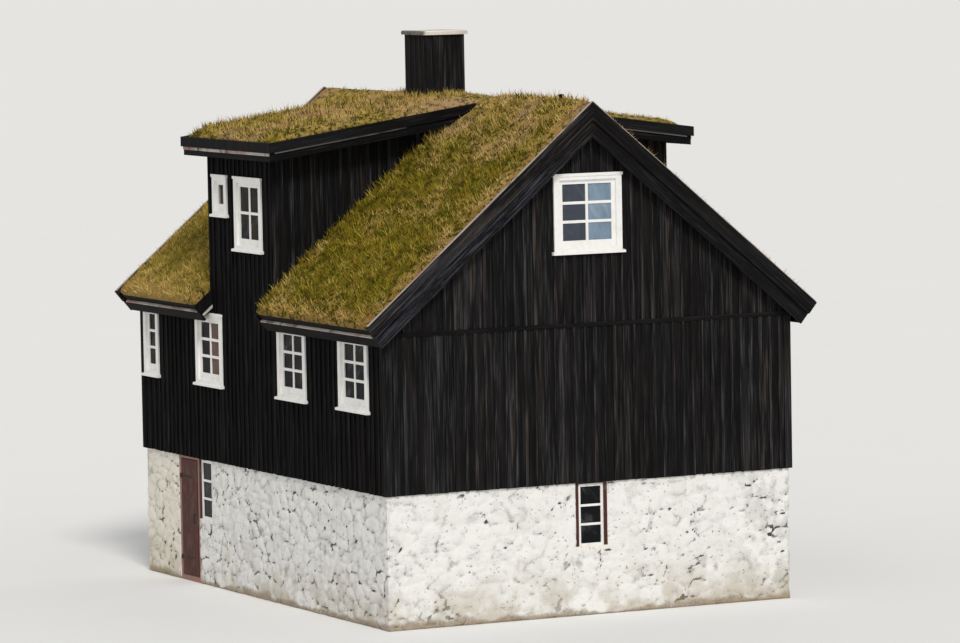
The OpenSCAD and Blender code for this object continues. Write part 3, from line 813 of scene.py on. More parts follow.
RED_CELLAR = Paint("red_brown_frame_paint", (0.070, 0.022, 0.018), (0.15, 0.10, 0.07), (0.045, 0.018, 0.015),
                   0.6, 0.15, True)
DOOR = DoorPaint("door_paint_and_iron", (0.062, 0.013, 0.011), (0.12, 0.07, 0.05), (0.028, 0.010, 0.009),
                 0.7, 0.15)
DOOR_WOOD = Paint("door_board_paint", (0.068, 0.014, 0.012), (0.12, 0.07, 0.05), (0.030, 0.010, 0.009),
                  0.8, 0.15)
PALE_RIDGE = WeatheredWood("pale_strip_along_ridge", Grain.ALONG_RIDGE)
PALE_ROOF = WeatheredWood("pale_strip_down_roof", Grain.DOWN_ROOF, (0.40, 0.34, 0.31), gaps=0.6)
PALE_DORMER = WeatheredWood("grey_strip_down_dormer", Grain.DOWN_DORMER, (0.13, 0.125, 0.12),
                            (0.02, 0.018, 0.017), (0.10, 0.085, 0.08), 1.0)
PALE_STICK = WeatheredWood("pale_stick", Grain.DOWN_ROOF, gaps=0.0)
FLOOR_PLANKS = Planks("floor_planks", Grain.ALONG_RIDGE)
DECK_PLANKS = Planks("roof_planks", Grain.DOWN_ROOF, 0.16, (0.20, 0.16, 0.11), (0.11, 0.085, 0.06))
PAVING = Stonework("paving", (0.26, 0.25, 0.23), (0.16, 0.15, 0.135))
MASONRY = Stonework("chimney_masonry", (0.34, 0.32, 0.30), (0.20, 0.185, 0.17), 5.0)
# The cap slab's left end gets painted shade.
SLAB = Stonework("cap_slab", (0.82, 0.78, 0.70), (0.58, 0.54, 0.47), 1.1, 0.0, True)
GLASS = Pane("window_glass")
SIDE_GLASS = Pane("long_wall_glass", gloss=0.035)
CURTAIN = Cloth("curtain_cloth")


# Making pieces


def mesh_of(bm: Shape, name: str) -> bpy.types.Mesh:
    """Makes a mesh of a bmesh.

    Args:
        bm: The bmesh, which is freed.
        name: The mesh's name.

    Returns:
        The mesh.
    """
    mesh = bpy.data.meshes.new(name)
    bm.to_mesh(mesh)
    bm.free()
    return mesh


def merge(bm: Shape, part: Shape) -> None:
    """Adds a part to a bmesh.

    Args:
        bm: Where it goes.
        part: The part, which is freed.
    """
    mesh = mesh_of(part, "part")
    bm.from_mesh(mesh)
    bpy.data.meshes.remove(mesh)


def link(name: str, data: Any) -> bpy.types.Object:
    """Makes an object and links it to the scene.

    Args:
        name: Its name.
        data: Its mesh, lamp or camera.

    Returns:
        The object.
    """
    thing = bpy.data.objects.new(name, data)
    bpy.context.scene.collection.objects.link(thing)
    return thing


def applied(thing: bpy.types.Object) -> bpy.types.Mesh:
    """Makes a mesh of an object with its modifiers applied.

    Args:
        thing: The object, which is removed.

    Returns:
        The mesh.
    """
    mesh = bpy.data.meshes.new_from_object(thing.evaluated_get(bpy.context.evaluated_depsgraph_get()))
    bpy.data.objects.remove(thing)
    return mesh


def publish(shape: Shape | bpy.types.Mesh, name: str, finish: Finish,
            body: str = "house", smooth: bool = False) -> bpy.types.Object:
    """Makes a piece of a shape, dresses it and lets it ride.

    Args:
        shape: A mesh, or a bmesh, which is freed, in the house's frame.
        name: The piece's name.
        finish: The finish that it wears.
        body: The body that it rides on.
        smooth: Whether its faces are shaded smooth.

    Returns:
        The piece.
    """
    mesh = mesh_of(shape, name) if isinstance(shape, Shape) else shape
    mesh.materials.clear()
    mesh.materials.append(material_of(finish))
    mesh.polygons.foreach_set("use_smooth", [smooth] * len(mesh.polygons))
    piece = link(name, mesh)
    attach(piece, body)
    log.info("%s: %d faces on %s", name, len(mesh.polygons), body)
    return piece


def add_box(bm: Shape, low: Iterable[float], high: Iterable[float],
            shade: float = 0.0) -> list[bmesh.types.BMVert]:
    """Adds a box between two corners.

    Args:
        bm: Where it goes.
        low: Its lowest corner.
        high: Its highest corner.
        shade: Its own shade, kept on its faces.

    Returns:
        Its corners.
    """
    low, high = Vector(low), Vector(high)
    fit = Matrix.Translation((low + high) / 2) @ Matrix.Diagonal((*(high - low), 1.0))
    verts = bmesh.ops.create_cube(bm, size=1.0, matrix=fit)["verts"]
    layer = bm.faces.layers.float.get("shade") or bm.faces.layers.float.new("shade")
    for f in {f for v in verts for f in v.link_faces}:
        f[layer] = shade
    return verts


def ease_edges(bm: Shape, width: float) -> None:
    """Takes the sharpness off every edge."""
    bmesh.ops.bevel(bm, geom=bm.edges[:], offset=width, affect="EDGES", segments=1, profile=0.5, material=-1)


def split(bm: Shape, spot: Sequence[float], off: Sequence[float], clear: bool = False) -> None:
    """Splits a shape along a plane.

    Args:
        bm: The shape.
        spot: A point of the plane.
        off: The plane's direction.
        clear: Whether what lies beyond the plane goes.
    """
    bmesh.ops.bisect_plane(bm, geom=bm.verts[:] + bm.edges[:] + bm.faces[:], dist=1e-5, plane_co=spot,
                           plane_no=off, clear_outer=clear)


def open_edges(bm: Shape) -> list[bmesh.types.BMEdge]:
    """Edges that only one face has."""
    return [e for e in bm.edges if e.is_boundary]


# Windows and sides


@dataclass(frozen=True)
class Glazing:
    """One pane: its lowest and highest corners in the house's frame."""

    low: tuple[float, float, float]
    high: tuple[float, float, float]

    @property
    def centre(self) -> Vector:
        """Middle of the pane."""
        return (Vector(self.low) + Vector(self.high)) / 2

    @property
    def on_gable(self) -> bool:
        """Whether the pane lies in a gable."""
        return self.high[1] - self.low[1] < 0.05

    @property
    def small(self) -> bool:
        """Whether it is too low for rows of panes."""
        return self.high[2] - self.low[2] < 0.4


def panes_of(node: str) -> list[Glazing]:
    """Finds the separate panes of a glass node.

    Args:
        node: The CAD node.

    Returns:
        Its panes.
    """
    bm = bmesh.new()
    bm.from_mesh(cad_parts[node].data)
    bmesh.ops.remove_doubles(bm, verts=bm.verts[:], dist=1e-5)
    left, panes = set(bm.verts), []
    while left:
        group, todo = set(), [left.pop()]
        while todo:
            v = todo.pop()
            group.add(v)
            near = {e.other_vert(v) for e in v.link_edges} & left
            left -= near
            todo.extend(near)
        low, high = (tuple(pick(v.co[i] for v in group) for i in range(3)) for pick in (min, max))
        panes.append(Glazing(low, high))
    bm.free()
    return sorted(panes, key=lambda p: p.low)


class Side(Enum):
    """An outer side of the house: its turn about Z and its distance from the middle."""

    FRONT = (0.0, HALF_L)
    BACK = (180.0, HALF_L)
    LEFT = (-90.0, HALF_W)
    RIGHT = (90.0, HALF_W)

    def matrix(self, out: float | None = None, middle: Span = (0.0, 0.0)) -> Matrix:
        """The side's own frame: X along it, Y into it, Z up.

        Args:
            out: Distance of its face from the middle, or None for the boarding's face.
            middle: The middle in X and Y.

        Returns:
            The matrix from that frame to the house's.
        """
        turn, reach = self.value
        reach = reach if out is None else out
        spin = Matrix.Rotation(math.radians(turn), 4, "Z")
        return Matrix.Translation((*middle, 0.0)) @ spin @ Matrix.Translation((0.0, -reach, 0.0))

    def along(self, spot: Sequence[float]) -> float:
        """Coordinate along the side of a point of the house."""
        return (self.matrix().inverted() @ Vector(spot)).x

    def has(self, pane: Glazing) -> bool:
        """Whether a pane lies in this side."""
        local = self.matrix().inverted() @ pane.centre
        return abs(local.y) < 0.1 and pane.on_gable == (self in (Side.FRONT, Side.BACK))


@dataclass(frozen=True)
class Opening:
    """Outline of a casing on its wall: left, right, low and high."""

    left: float
    right: float
    low: float
    high: float

    def meets(self, x: float, margin: float = 0.02) -> bool:
        """Whether the upright line at x runs through the casing or within a margin of it."""
        return self.left - margin < x < self.right + margin


def openings(side: Side, nodes: Iterable[str], beside: float, under: float, over: float) -> list[Opening]:
    """Finds the casings in a side from its panes.

    Args:
        side: The side.
        nodes: The glass nodes.
        beside: How far a casing reaches past its pane on either side.
        under: How far it reaches below the pane.
        over: How far it reaches above the pane.

    Returns:
        Their outlines in the side's own frame.
    """
    found = []
    for pane in (p for node in nodes for p in panes_of(node) if side.has(p)):
        left, right = sorted((side.along(pane.low), side.along(pane.high)))
        found.append(Opening(left - beside, right + beside, pane.low[2] - under, pane.high[2] + over))
    return found


# Boards


@dataclass
class Boarding:
    """Upright boards with battens over their joints on one face of the house."""

    base: Matrix
    left: float
    right: float
    low: float
    high: float
    casings: Sequence[Opening] = ()
    cuts: Sequence[tuple[Vector, Vector]] = ()
    seed: int = 1
    board_w: float = 0.158
    batten_w: float = 0.046
    batten_out: float = 0.021
    ragged: float = 0.008
    half_gap: float = 0.0015
    bed: float = 0.004
    narrowest: float = 0.03
    shortest: float = 0.02

    def stations(self) -> list[float]:
        """Sets out the joints between the boards.

        Returns:
            Their places: the ends, the casings' edges and even steps between them.
        """
        marks = {self.left, self.right}
        low, high = self.left + self.narrowest, self.right - self.narrowest
        for o in self.casings:
            marks |= {x for x in (o.left, o.right) if low < x < high}
        ordered = sorted(marks)
        joints = [ordered[0]]
        for a, b in zip(ordered, ordered[1:]):
            steps = max(1, round((b - a) / self.board_w))
            joints += [a + (b - a) * i / steps for i in range(1, steps + 1)]
        return joints

    def runs(self, x: float) -> list[Span]:
        """Finds the stretches of height that no casing covers.

        Args:
            x: Where, along the face.

        Returns:
            Where each stretch starts and ends.
        """
        free = [(self.low, self.high)]
        for o in self.casings:
            if o.meets(x):
                free = [(a, b) for s, t in free for a, b in ((s, min(t, o.low)), (max(s, o.high), t))
                        if b - a > self.shortest]
        return free

    def nail(self, bm: Shape, rng: random.Random, at: float, width: Span, depth: Span,
             shade: float) -> None:
        """Adds one board or batten, with a ragged foot, wherever no casing covers it.

        Args:
            bm: Where it goes, in the face's own frame.
            rng: Where the foot's length is drawn from.
            at: Where the casings are looked for.
            width: Where it starts and ends along the face.
            depth: Where it starts and ends into the face.
            shade: Its own shade.
        """
        for low, high in self.runs(at):
            foot = low - rng.uniform(0.0, self.ragged) if low == self.low else low
            add_box(bm, (width[0], depth[0], foot), (width[1], depth[1], high), shade)

    def add_to(self, bm: Shape) -> None:
        """Adds the boards and battens to a bmesh.

        Args:
            bm: Where they go, in the house's frame.
        """
        rng = random.Random(self.seed)
        own = bmesh.new()
        joints = self.stations()
        for a, b in zip(joints, joints[1:]):
            out, shade = rng.uniform(0.003, 0.008), rng.random() ** 2 * 0.7
            self.nail(own, rng, (a + b) / 2, (a + self.half_gap, b - self.half_gap), (-out, self.bed), shade)
        for x in joints:
            shade = rng.uniform(0.35, 1.0)
            w, out = self.batten_w * rng.uniform(0.88, 1.1) / 2, self.batten_out + rng.uniform(-0.002, 0.001)
            lean = rng.uniform(-0.004, 0.004)
            spot = min(max(x, self.left + w), self.right - w) + lean * 0.3
            self.nail(own, rng, x, (spot - w, spot + w), (-out, 0.001), shade)
        bmesh.ops.transform(own, matrix=self.base, verts=own.verts)
        for spot, off in self.cuts:
            split(own, spot, off, clear=True)
            bmesh.ops.holes_fill(own, edges=open_edges(own), sides=0)
        ease_edges(own, 0.0018)
        merge(bm, own)


def slope_cut(side: float, pitch: float, z0: float, above: bool) -> tuple[Vector, Vector]:
    """Plane of a roof slope that goes through height z0 over the ridge line.

    Args:
        side: -1 for the left slope, 1 for the right.
        pitch: The slope's pitch.
        z0: Its height at the ridge.
        above: Whether what lies above it goes, or else what lies below.

    Returns:
        A point of the plane and the direction of what goes.
    """
    up = Vector((side * math.tan(pitch), 0.0, 1.0))
    return Vector((0.0, 0.0, z0)), up if above else -up


@dataclass
class WallBoards:
    """All tarred boarding of the walls, the dormers and the chimney."""

    foot: float = SILL_Z - 0.028
    casing_w: float = 0.15
    casing_foot: float = 0.19
    corner_w: float = 0.085
    corner_lap: float = 0.024
    drip_board: float = 0.058
    seat: float = 0.004
    deck_t: float = 0.24
    chimney_foot: float = 0.10
    corner_out: float = 0.026
    long_corner_out: float = 0.0255
    cheek_start: float = 0.25
    seeds: tuple[int, int, int, int] = (11, 29, 41, 51)
    cheek_seed: int = 61
    chimney_seed: int = 81

    def seed_of(self, side: Side) -> int:
        """The first seed of a side's boards."""
        return self.seeds[list(Side).index(side)]

    def casings(self, side: Side) -> list[Opening]:
        """Casings of the upper windows in a side."""
        return openings(side, UPPER_GLASS, self.casing_w, self.casing_foot, self.casing_w)

    def corners(self, bm: Shape, side: Side, width: Span, out: float, top: float,
                shade: float) -> None:
        """Adds a board at each corner of a side.

        Args:
            bm: Where they go.
            side: The side.
            width: Distances of a board's outer and inner edges from the side's middle.
            out: How far it stands out.
            top: Height of its top.
            shade: Its own shade.
        """
        extra = bmesh.new()
        for end in BOTH:
            left, right = sorted(end * x for x in width)
            add_box(extra, (left, -out, self.foot), (right, 0.002, top), shade)
        bmesh.ops.transform(extra, matrix=side.matrix(), verts=extra.verts)
        ease_edges(extra, 0.002)
        merge(bm, extra)

    def gable(self, side: Side) -> None:
        """Boards a gable: one row up to the drip board and one above it.

        Args:
            side: The gable.
        """
        bm = bmesh.new()
        base, seed = side.matrix(), self.seed_of(side)
        drip, under = PLATE_Z - self.drip_board, roof_z(0.0, 0.0) - self.seat
        Boarding(base, -HALF_W, HALF_W, self.foot, drip, seed=seed).add_to(bm)
        cuts = [slope_cut(s, ROOF_PITCH, under, True) for s in BOTH]
        Boarding(base, -HALF_W, HALF_W, PLATE_Z - self.seat, under, self.casings(side), cuts, seed + 1,
                 batten_out=0.024, ragged=0.0).add_to(bm)
        corner = (HALF_W + self.corner_lap, HALF_W - self.corner_w)
        self.corners(bm, side, corner, self.corner_out, drip, 0.4)
        publish(bm, f"boards_{side.name.lower()}_gable", TAR_UPRIGHT)

    def long_side(self, side: Side) -> None:
        """Boards a long wall, up to the eaves and, in the dormer's bay, to the dormer roof.

        Args:
            side: The wall's side.
        """
        bm = bmesh.new()
        sign, seed = -1.0 if side is Side.LEFT else 1.0, self.seed_of(side)
        eaves = PLATE_Z - self.seat
        bays = [(-HALF_L, DORMER_Y[0], eaves), (*DORMER_Y, dormer_z(HALF_W, 0.0) - 0.002),
                (DORMER_Y[1], HALF_L, eaves)]
        for i, (y0, y1, top) in enumerate(bays):
            left, right = sorted((sign * y0, sign * y1))
            Boarding(side.matrix(), left, right, self.foot, top, self.casings(side), (), seed + i).add_to(bm)
        self.corners(bm, side, (HALF_L, HALF_L - self.corner_w), self.long_corner_out, PLATE_Z - 0.02,
                     0.6)
        # The long walls wear the darker tar, which holds painted shade.
        publish(bm, f"boards_{side.name.lower()}_wall", TAR_LONG_SHADED)

    def cheeks(self, slope: float) -> None:
        """Boards the two cheeks of a dormer between the turf and the dormer roof.

        Args:
            slope: -1 for the left dormer, 1 for the right.
        """
        bm = bmesh.new()
        cuts = [slope_cut(slope, DORMER_PITCH, dormer_z(0.0, 0.0) - 0.003, True),
                slope_cut(slope, ROOF_PITCH, roof_z(0.0, self.deck_t), False)]
        reach = (self.cheek_start, HALF_W + 0.004)
        for y, face in zip(DORMER_Y, (Side.FRONT, Side.BACK)):
            left, right = sorted(face.along((slope * r, 0.0, 0.0)) for r in reach)
            Boarding(face.matrix(0.0, (0.0, y)), left, right, PLATE_Z, dormer_z(0.0, 0.0), (), cuts,
                     self.cheek_seed + int(y) + (5 if slope > 0 else 0)).add_to(bm)
        publish(bm, f"boards_dormer_cheeks_{'left' if slope < 0 else 'right'}", TAR_UPRIGHT)

    def chimney(self) -> None:
        """Boards the chimney above the turf, with a batten round each corner."""
        bm = bmesh.new()
        half, middle = CHIMNEY_HALF, (0.0, CHIMNEY_END - CHIMNEY_HALF)
        low = dormer_z(half, DORMER_T) - self.chimney_foot
        for i, face in enumerate(Side):
            Boarding(face.matrix(half, middle), -half, half, low, STACK_TOP - 0.003,
                     seed=self.chimney_seed + i, board_w=0.16, batten_w=0.035, batten_out=0.011,
                     ragged=0.0).add_to(bm)
        publish(bm, "boards_chimney", TAR_UPRIGHT)

    def build(self) -> None:
        """Boards every face."""
        for side in (Side.FRONT, Side.BACK):
            self.gable(side)
        for side in (Side.LEFT, Side.RIGHT):
            self.long_side(side)
        for slope in BOTH:
            self.cheeks(slope)
        self.chimney()


@dataclass
class DoorBoards:
    """Upright boards on the outer face of the basement door's leaf."""

    count: int = 5
    width: float = 0.58
    out: float = 0.006
    margin: float = 0.004
    half_gap: float = 0.002

    def build(self) -> None:
        """Makes the boards, as high as the CAD leaf."""
        _, y0, z0 = low_of("basement_door")
        z1 = top_of("basement_door")[2]
        rng = random.Random(3)
        bm = bmesh.new()
        for i in range(self.count):
            a, b = (y0 + self.width * n / self.count for n in (i, i + 1))
            add_box(bm, (LEAF_X - self.out + rng.uniform(0, 0.0015), a + self.half_gap, z0 + self.margin),
                    (LEAF_X + 0.002, b - self.half_gap, z1 - self.margin), rng.random())
        ease_edges(bm, 0.002)
        publish(bm, "door_boards", DOOR_WOOD, body="door")


# Windows


@dataclass
class WindowBars:
    """Glazing bars over the panes of every window."""

    bar_w: float = 0.040
    cellar_bar_w: float = 0.034
    before: float = 0.015
    behind: float = 0.010
    lap: float = 0.004
    set_in: float = 0.001

    def grid(self, pane: Glazing) -> tuple[int, int]:
        """Divides one window, by its size.

        Args:
            pane: Its pane.

        Returns:
            Its columns and rows of small panes.
        """
        wide = max(pane.high[0] - pane.low[0], pane.high[1] - pane.low[1])
        if pane.small:
            return 1, 1
        if wide < 0.4:
            return 1, 3
        return (2, 2) if pane.low[2] > PLATE_Z and not pane.on_gable else (2, 3)

    def add_bars(self, bm: Shape, pane: Glazing, width: float) -> None:
        """Adds one window's bars.

        Args:
            bm: Where they go.
            pane: The pane that they cross.
            width: The bars' width.
        """
        thin, wide = (1, 0) if pane.on_gable else (0, 1)
        out = -1.0 if pane.centre[thin] < 0 else 1.0
        face = pane.low[thin] if out < 0 else pane.high[thin]
        depth = sorted((face + out * self.before, face - out * self.behind))
        for axis, other, count, inset in zip((wide, 2), (2, wide), self.grid(pane), (0.0, self.set_in)):
            for i in range(1, count):
                mid = pane.low[axis] + (pane.high[axis] - pane.low[axis]) * i / count
                low, high = list(pane.low), list(pane.high)
                low[thin], high[thin] = depth[0] + inset, depth[1] - inset
                low[axis], high[axis] = mid - width / 2, mid + width / 2
                low[other], high[other] = pane.low[other] - self.lap, pane.high[other] + self.lap
                add_box(bm, low, high)

    def build(self) -> None:
        """Makes the bars of each group of windows."""
        for node in (*UPPER_GLASS, CELLAR_GLASS):
            bm = bmesh.new()
            for pane in panes_of(node):
                self.add_bars(bm, pane, self.cellar_bar_w if node == CELLAR_GLASS else self.bar_w)
            ease_edges(bm, 0.003)
            publish(bm, node.replace("glass", "bars"), WHITE)


@dataclass
class Curtains:
    """Small gathered curtains behind the small dormer windows."""

    folds: float = 0.055
    swing: float = 0.011
    set_in: float = 0.055
    lap: float = 0.02
    hem: float = 0.03

    def hang(self, name: str, pane: Glazing) -> None:
        """Hangs one curtain behind a pane.

        Args:
            name: The piece's name.
            pane: The pane.
        """
        y0, y1 = pane.low[1] - self.lap, pane.high[1] + self.lap
        z0, z1 = pane.low[2] - self.hem, pane.high[2] + self.lap
        inward = 1.0 if pane.centre.x < 0 else -1.0
        bm = bmesh.new()
        bmesh.ops.create_grid(bm, x_segments=90, y_segments=24, size=0.5)
        for v in bm.verts:
            across, up = v.co.x + 0.5, v.co.y + 0.5
            y, z = y0 + (y1 - y0) * across, z0 + (z1 - z0) * up
            drift = noise.noise(Vector((y * 6.0, z * 2.0, 3.0))) * 1.2
            sway = math.sin(y / self.folds * 2 * math.pi + drift) * self.swing * (0.75 + 0.35 * (1 - up))
            v.co = (pane.centre.x + inward * self.set_in + sway, y, z)
        area = sum(f.calc_area() for f in bm.faces)
        drop = z1 - z0
        piece = publish(bm, name, CURTAIN, smooth=True)
        area / drop

    def build(self) -> None:
        """Hangs a curtain behind each small dormer window."""
        for pane in panes_of("dormer_window_glass"):
            if pane.small:
                self.hang(f"curtain_dormer_{'left' if pane.centre.x < 0 else 'right'}", pane)


# Basement


@dataclass(frozen=True)
class Wash:
    """One stretch of whitewashed rubble: where it starts and ends, and which ends turn a corner."""

    name: str
    side: Side
    left: float
    right: float
    turned_left: bool = True
    turned_right: bool = True


@dataclass
class RubbleSkin:
    """The whitewashed stones of the basement walls, in relief over the CAD walls."""

    step: float = 0.027
    proud: float = 0.029
    stone_w: float = 0.33
    stone_h: float = 0.175
    corner: float = 0.16
    reveal: float = 0.09
    root: float = 0.006
    seed: int = 1

    def relief(self, spot: Vector, bare: float) -> tuple[float, float, float, float]:
        """Relief of the wall at a point.

        Args:
            spot: The point on the flat wall.
            bare: How far soil hides the wash there, from 0 to 1.

        Returns:
            Height above the wall, openness of the joint, depth of a pit where three stones
            meet, and the stone's own number.
        """
        u = Vector(((spot.x + spot.y) / self.stone_w, (spot.x - spot.y) / self.stone_w * 0.35,
                    spot.z / self.stone_h))
        u += noise.noise_vector(spot * 3.2) * 0.42
        reach, cells = noise.voronoi(u)
        gap = reach[1] - reach[0]
        own = noise.cell(cells[0] * 7.3) * 0.5 + 0.5
        crown = smoothstep(0.0, 0.30, gap)
        on_end, on_side = abs(spot.y) > RUBBLE_Y - 0.001, abs(spot.x) > RUBBLE_X - 0.001
        quoin = min(RUBBLE_X - abs(spot.x) if on_end else 9.0, RUBBLE_Y - abs(spot.y) if on_side else 9.0)
        filled = smoothstep(-0.25, 0.25, noise.noise(spot * 1.6 + Vector((5.0, 1.0, 2.0))))
        filled *= 0.35 + 0.65 * smoothstep(0.25, 0.75, quoin)
        lumps = noise.fractal(spot * 9.0, 0.8, 2.0, 3) * 0.0045
        dome = crown * (0.40 + 0.25 * own)
        height = self.proud * (0.35 + 0.25 * filled + dome * (1 - 0.55 * filled))
        openness = (1.0 - smoothstep(0.02, 0.15, gap)) * (1.0 - 0.6 * filled)
        ragged = 0.125 + 0.07 * noise.noise(spot * 21.0)
        pit = 1.0 - smoothstep(0.45 * ragged, ragged, reach[2] - reach[0])
        few = -0.24 if on_side else 0.08 - 0.30 * smoothstep(1.9, 2.8, spot.x)
        pit *= smoothstep(few, few + 0.16, noise.noise(spot * 2.7 + Vector((1.0, 8.0, 4.0))))
        return max(0.003, height + lumps - 0.003 * bare - 0.02 * pit), openness, pit, own

    def bareness(self, spot: Vector, side: Side) -> float:
        """Finds how far soil hides the wash: a ragged band along the ground.

        Args:
            spot: The point on the flat wall.
            side: The side that it is on.

        Returns:
            From 0, all wash, to 1, all soil.
        """
        ragged = noise.fractal(Vector((spot.x * 1.7 + 3.0, spot.y * 1.7, spot.z * 1.2 + 7.7)), 0.9, 2.0, 4)
        reach = 0.10 + (0.13 if side is Side.FRONT else 0.09) * ragged
        return 1.0 - smoothstep(0.25 * reach, max(0.05, 1.6 * reach), spot.z)

    def build_one(self, wash: Wash) -> None:
        """Makes the skin of one stretch.

        Args:
            wash: The stretch.
        """
        bm = bmesh.new()
        length = wash.right - wash.left
        out = RUBBLE_Y if wash.side in (Side.FRONT, Side.BACK) else RUBBLE_X
        base = wash.side.matrix(out)
        fit = (Matrix.Translation(((wash.left + wash.right) / 2, 0.0, SILL_Z / 2))
               @ Matrix.Rotation(math.pi / 2, 4, "X") @ Matrix.Diagonal((length, SILL_Z, 1.0, 1.0)))
        bmesh.ops.create_grid(bm, x_segments=round(length / self.step), y_segments=round(SILL_Z / self.step),
                              size=0.5, matrix=fit)
        for hole in openings(wash.side, (CELLAR_GLASS,), self.reveal, self.reveal, SILL_Z):
            if wash.left < hole.left < wash.right:
                self.cut(bm, hole)
        layers = [bm.verts.layers.float.new(name) for name in ("joint", "pit", "stone", "bare")]
        flat = {v: base @ v.co for v in bm.verts}
        outward = (base.to_3x3() @ Vector((0.0, -1.0, 0.0))).normalized()
        sideways = base.to_3x3() @ Vector((1.0, 0.0, 0.0))
        for v, spot in flat.items():
            bare = self.bareness(spot, wash.side)
            height, joint, pit, own = self.relief(spot, bare)
            lean = 0.0
            if wash.turned_right:
                lean += smoothstep(wash.right - self.corner, wash.right, v.co.x)
            if wash.turned_left:
                lean -= 1.0 - smoothstep(wash.left, wash.left + self.corner, v.co.x)
            for layer, number in zip(layers, (joint, pit, own, bare)):
                v[layer] = number
            v.co = spot + outward * height + sideways * lean * height
        self.close_back(bm, outward, out)
        publish(bm, wash.name, LIME, smooth=True)

    def cut(self, bm: Shape, hole: Opening) -> None:
        """Cuts an opening out of the flat grid.

        Args:
            bm: The grid, in the side's own frame.
            hole: The opening.
        """
        for x in (hole.left, hole.right):
            split(bm, (x, 0, 0), (1, 0, 0))
        for z in (hole.low, hole.high):
            split(bm, (0, 0, z), (0, 0, 1))
        middles = {f: f.calc_center_median() for f in bm.faces}
        gone = [f for f, mid in middles.items()
                if hole.left < mid.x < hole.right and hole.low < mid.z < hole.high]
        bmesh.ops.delete(bm, geom=gone, context="FACES")

    def close_back(self, bm: Shape, outward: Vector, out: float) -> None:
        """Turns the skin's edge back into the wall and closes it behind.

        Args:
            bm: The skin, in the house's frame.
            outward: Direction out of the wall.
            out: Distance of the wall's face from the middle of the house.
        """
        rim = bmesh.ops.extrude_edge_only(bm, edges=open_edges(bm))
        for v in (g for g in rim["geom"] if isinstance(g, bmesh.types.BMVert)):
            v.co -= outward * (v.co.dot(outward) - (out - self.root))
        bmesh.ops.contextual_create(bm, geom=open_edges(bm))
        bmesh.ops.recalc_face_normals(bm, faces=bm.faces[:])

    def build(self) -> None:
        """Makes the skins of the four walls, open at the windows and the doorway."""
        noise.seed_set(self.seed)
        door_far, door_near = (-y for y in reversed(DOORWAY_Y))
        for wash in (Wash("rubble_front", Side.FRONT, -RUBBLE_X, RUBBLE_X),
                     Wash("rubble_back", Side.BACK, -RUBBLE_X, RUBBLE_X),
                     Wash("rubble_right", Side.RIGHT, -RUBBLE_Y, RUBBLE_Y),
                     Wash("rubble_left_far", Side.LEFT, -RUBBLE_Y, door_far, turned_right=False),
                     Wash("rubble_left_near", Side.LEFT, door_near, RUBBLE_Y, turned_left=False)):
            self.build_one(wash)


# Roof


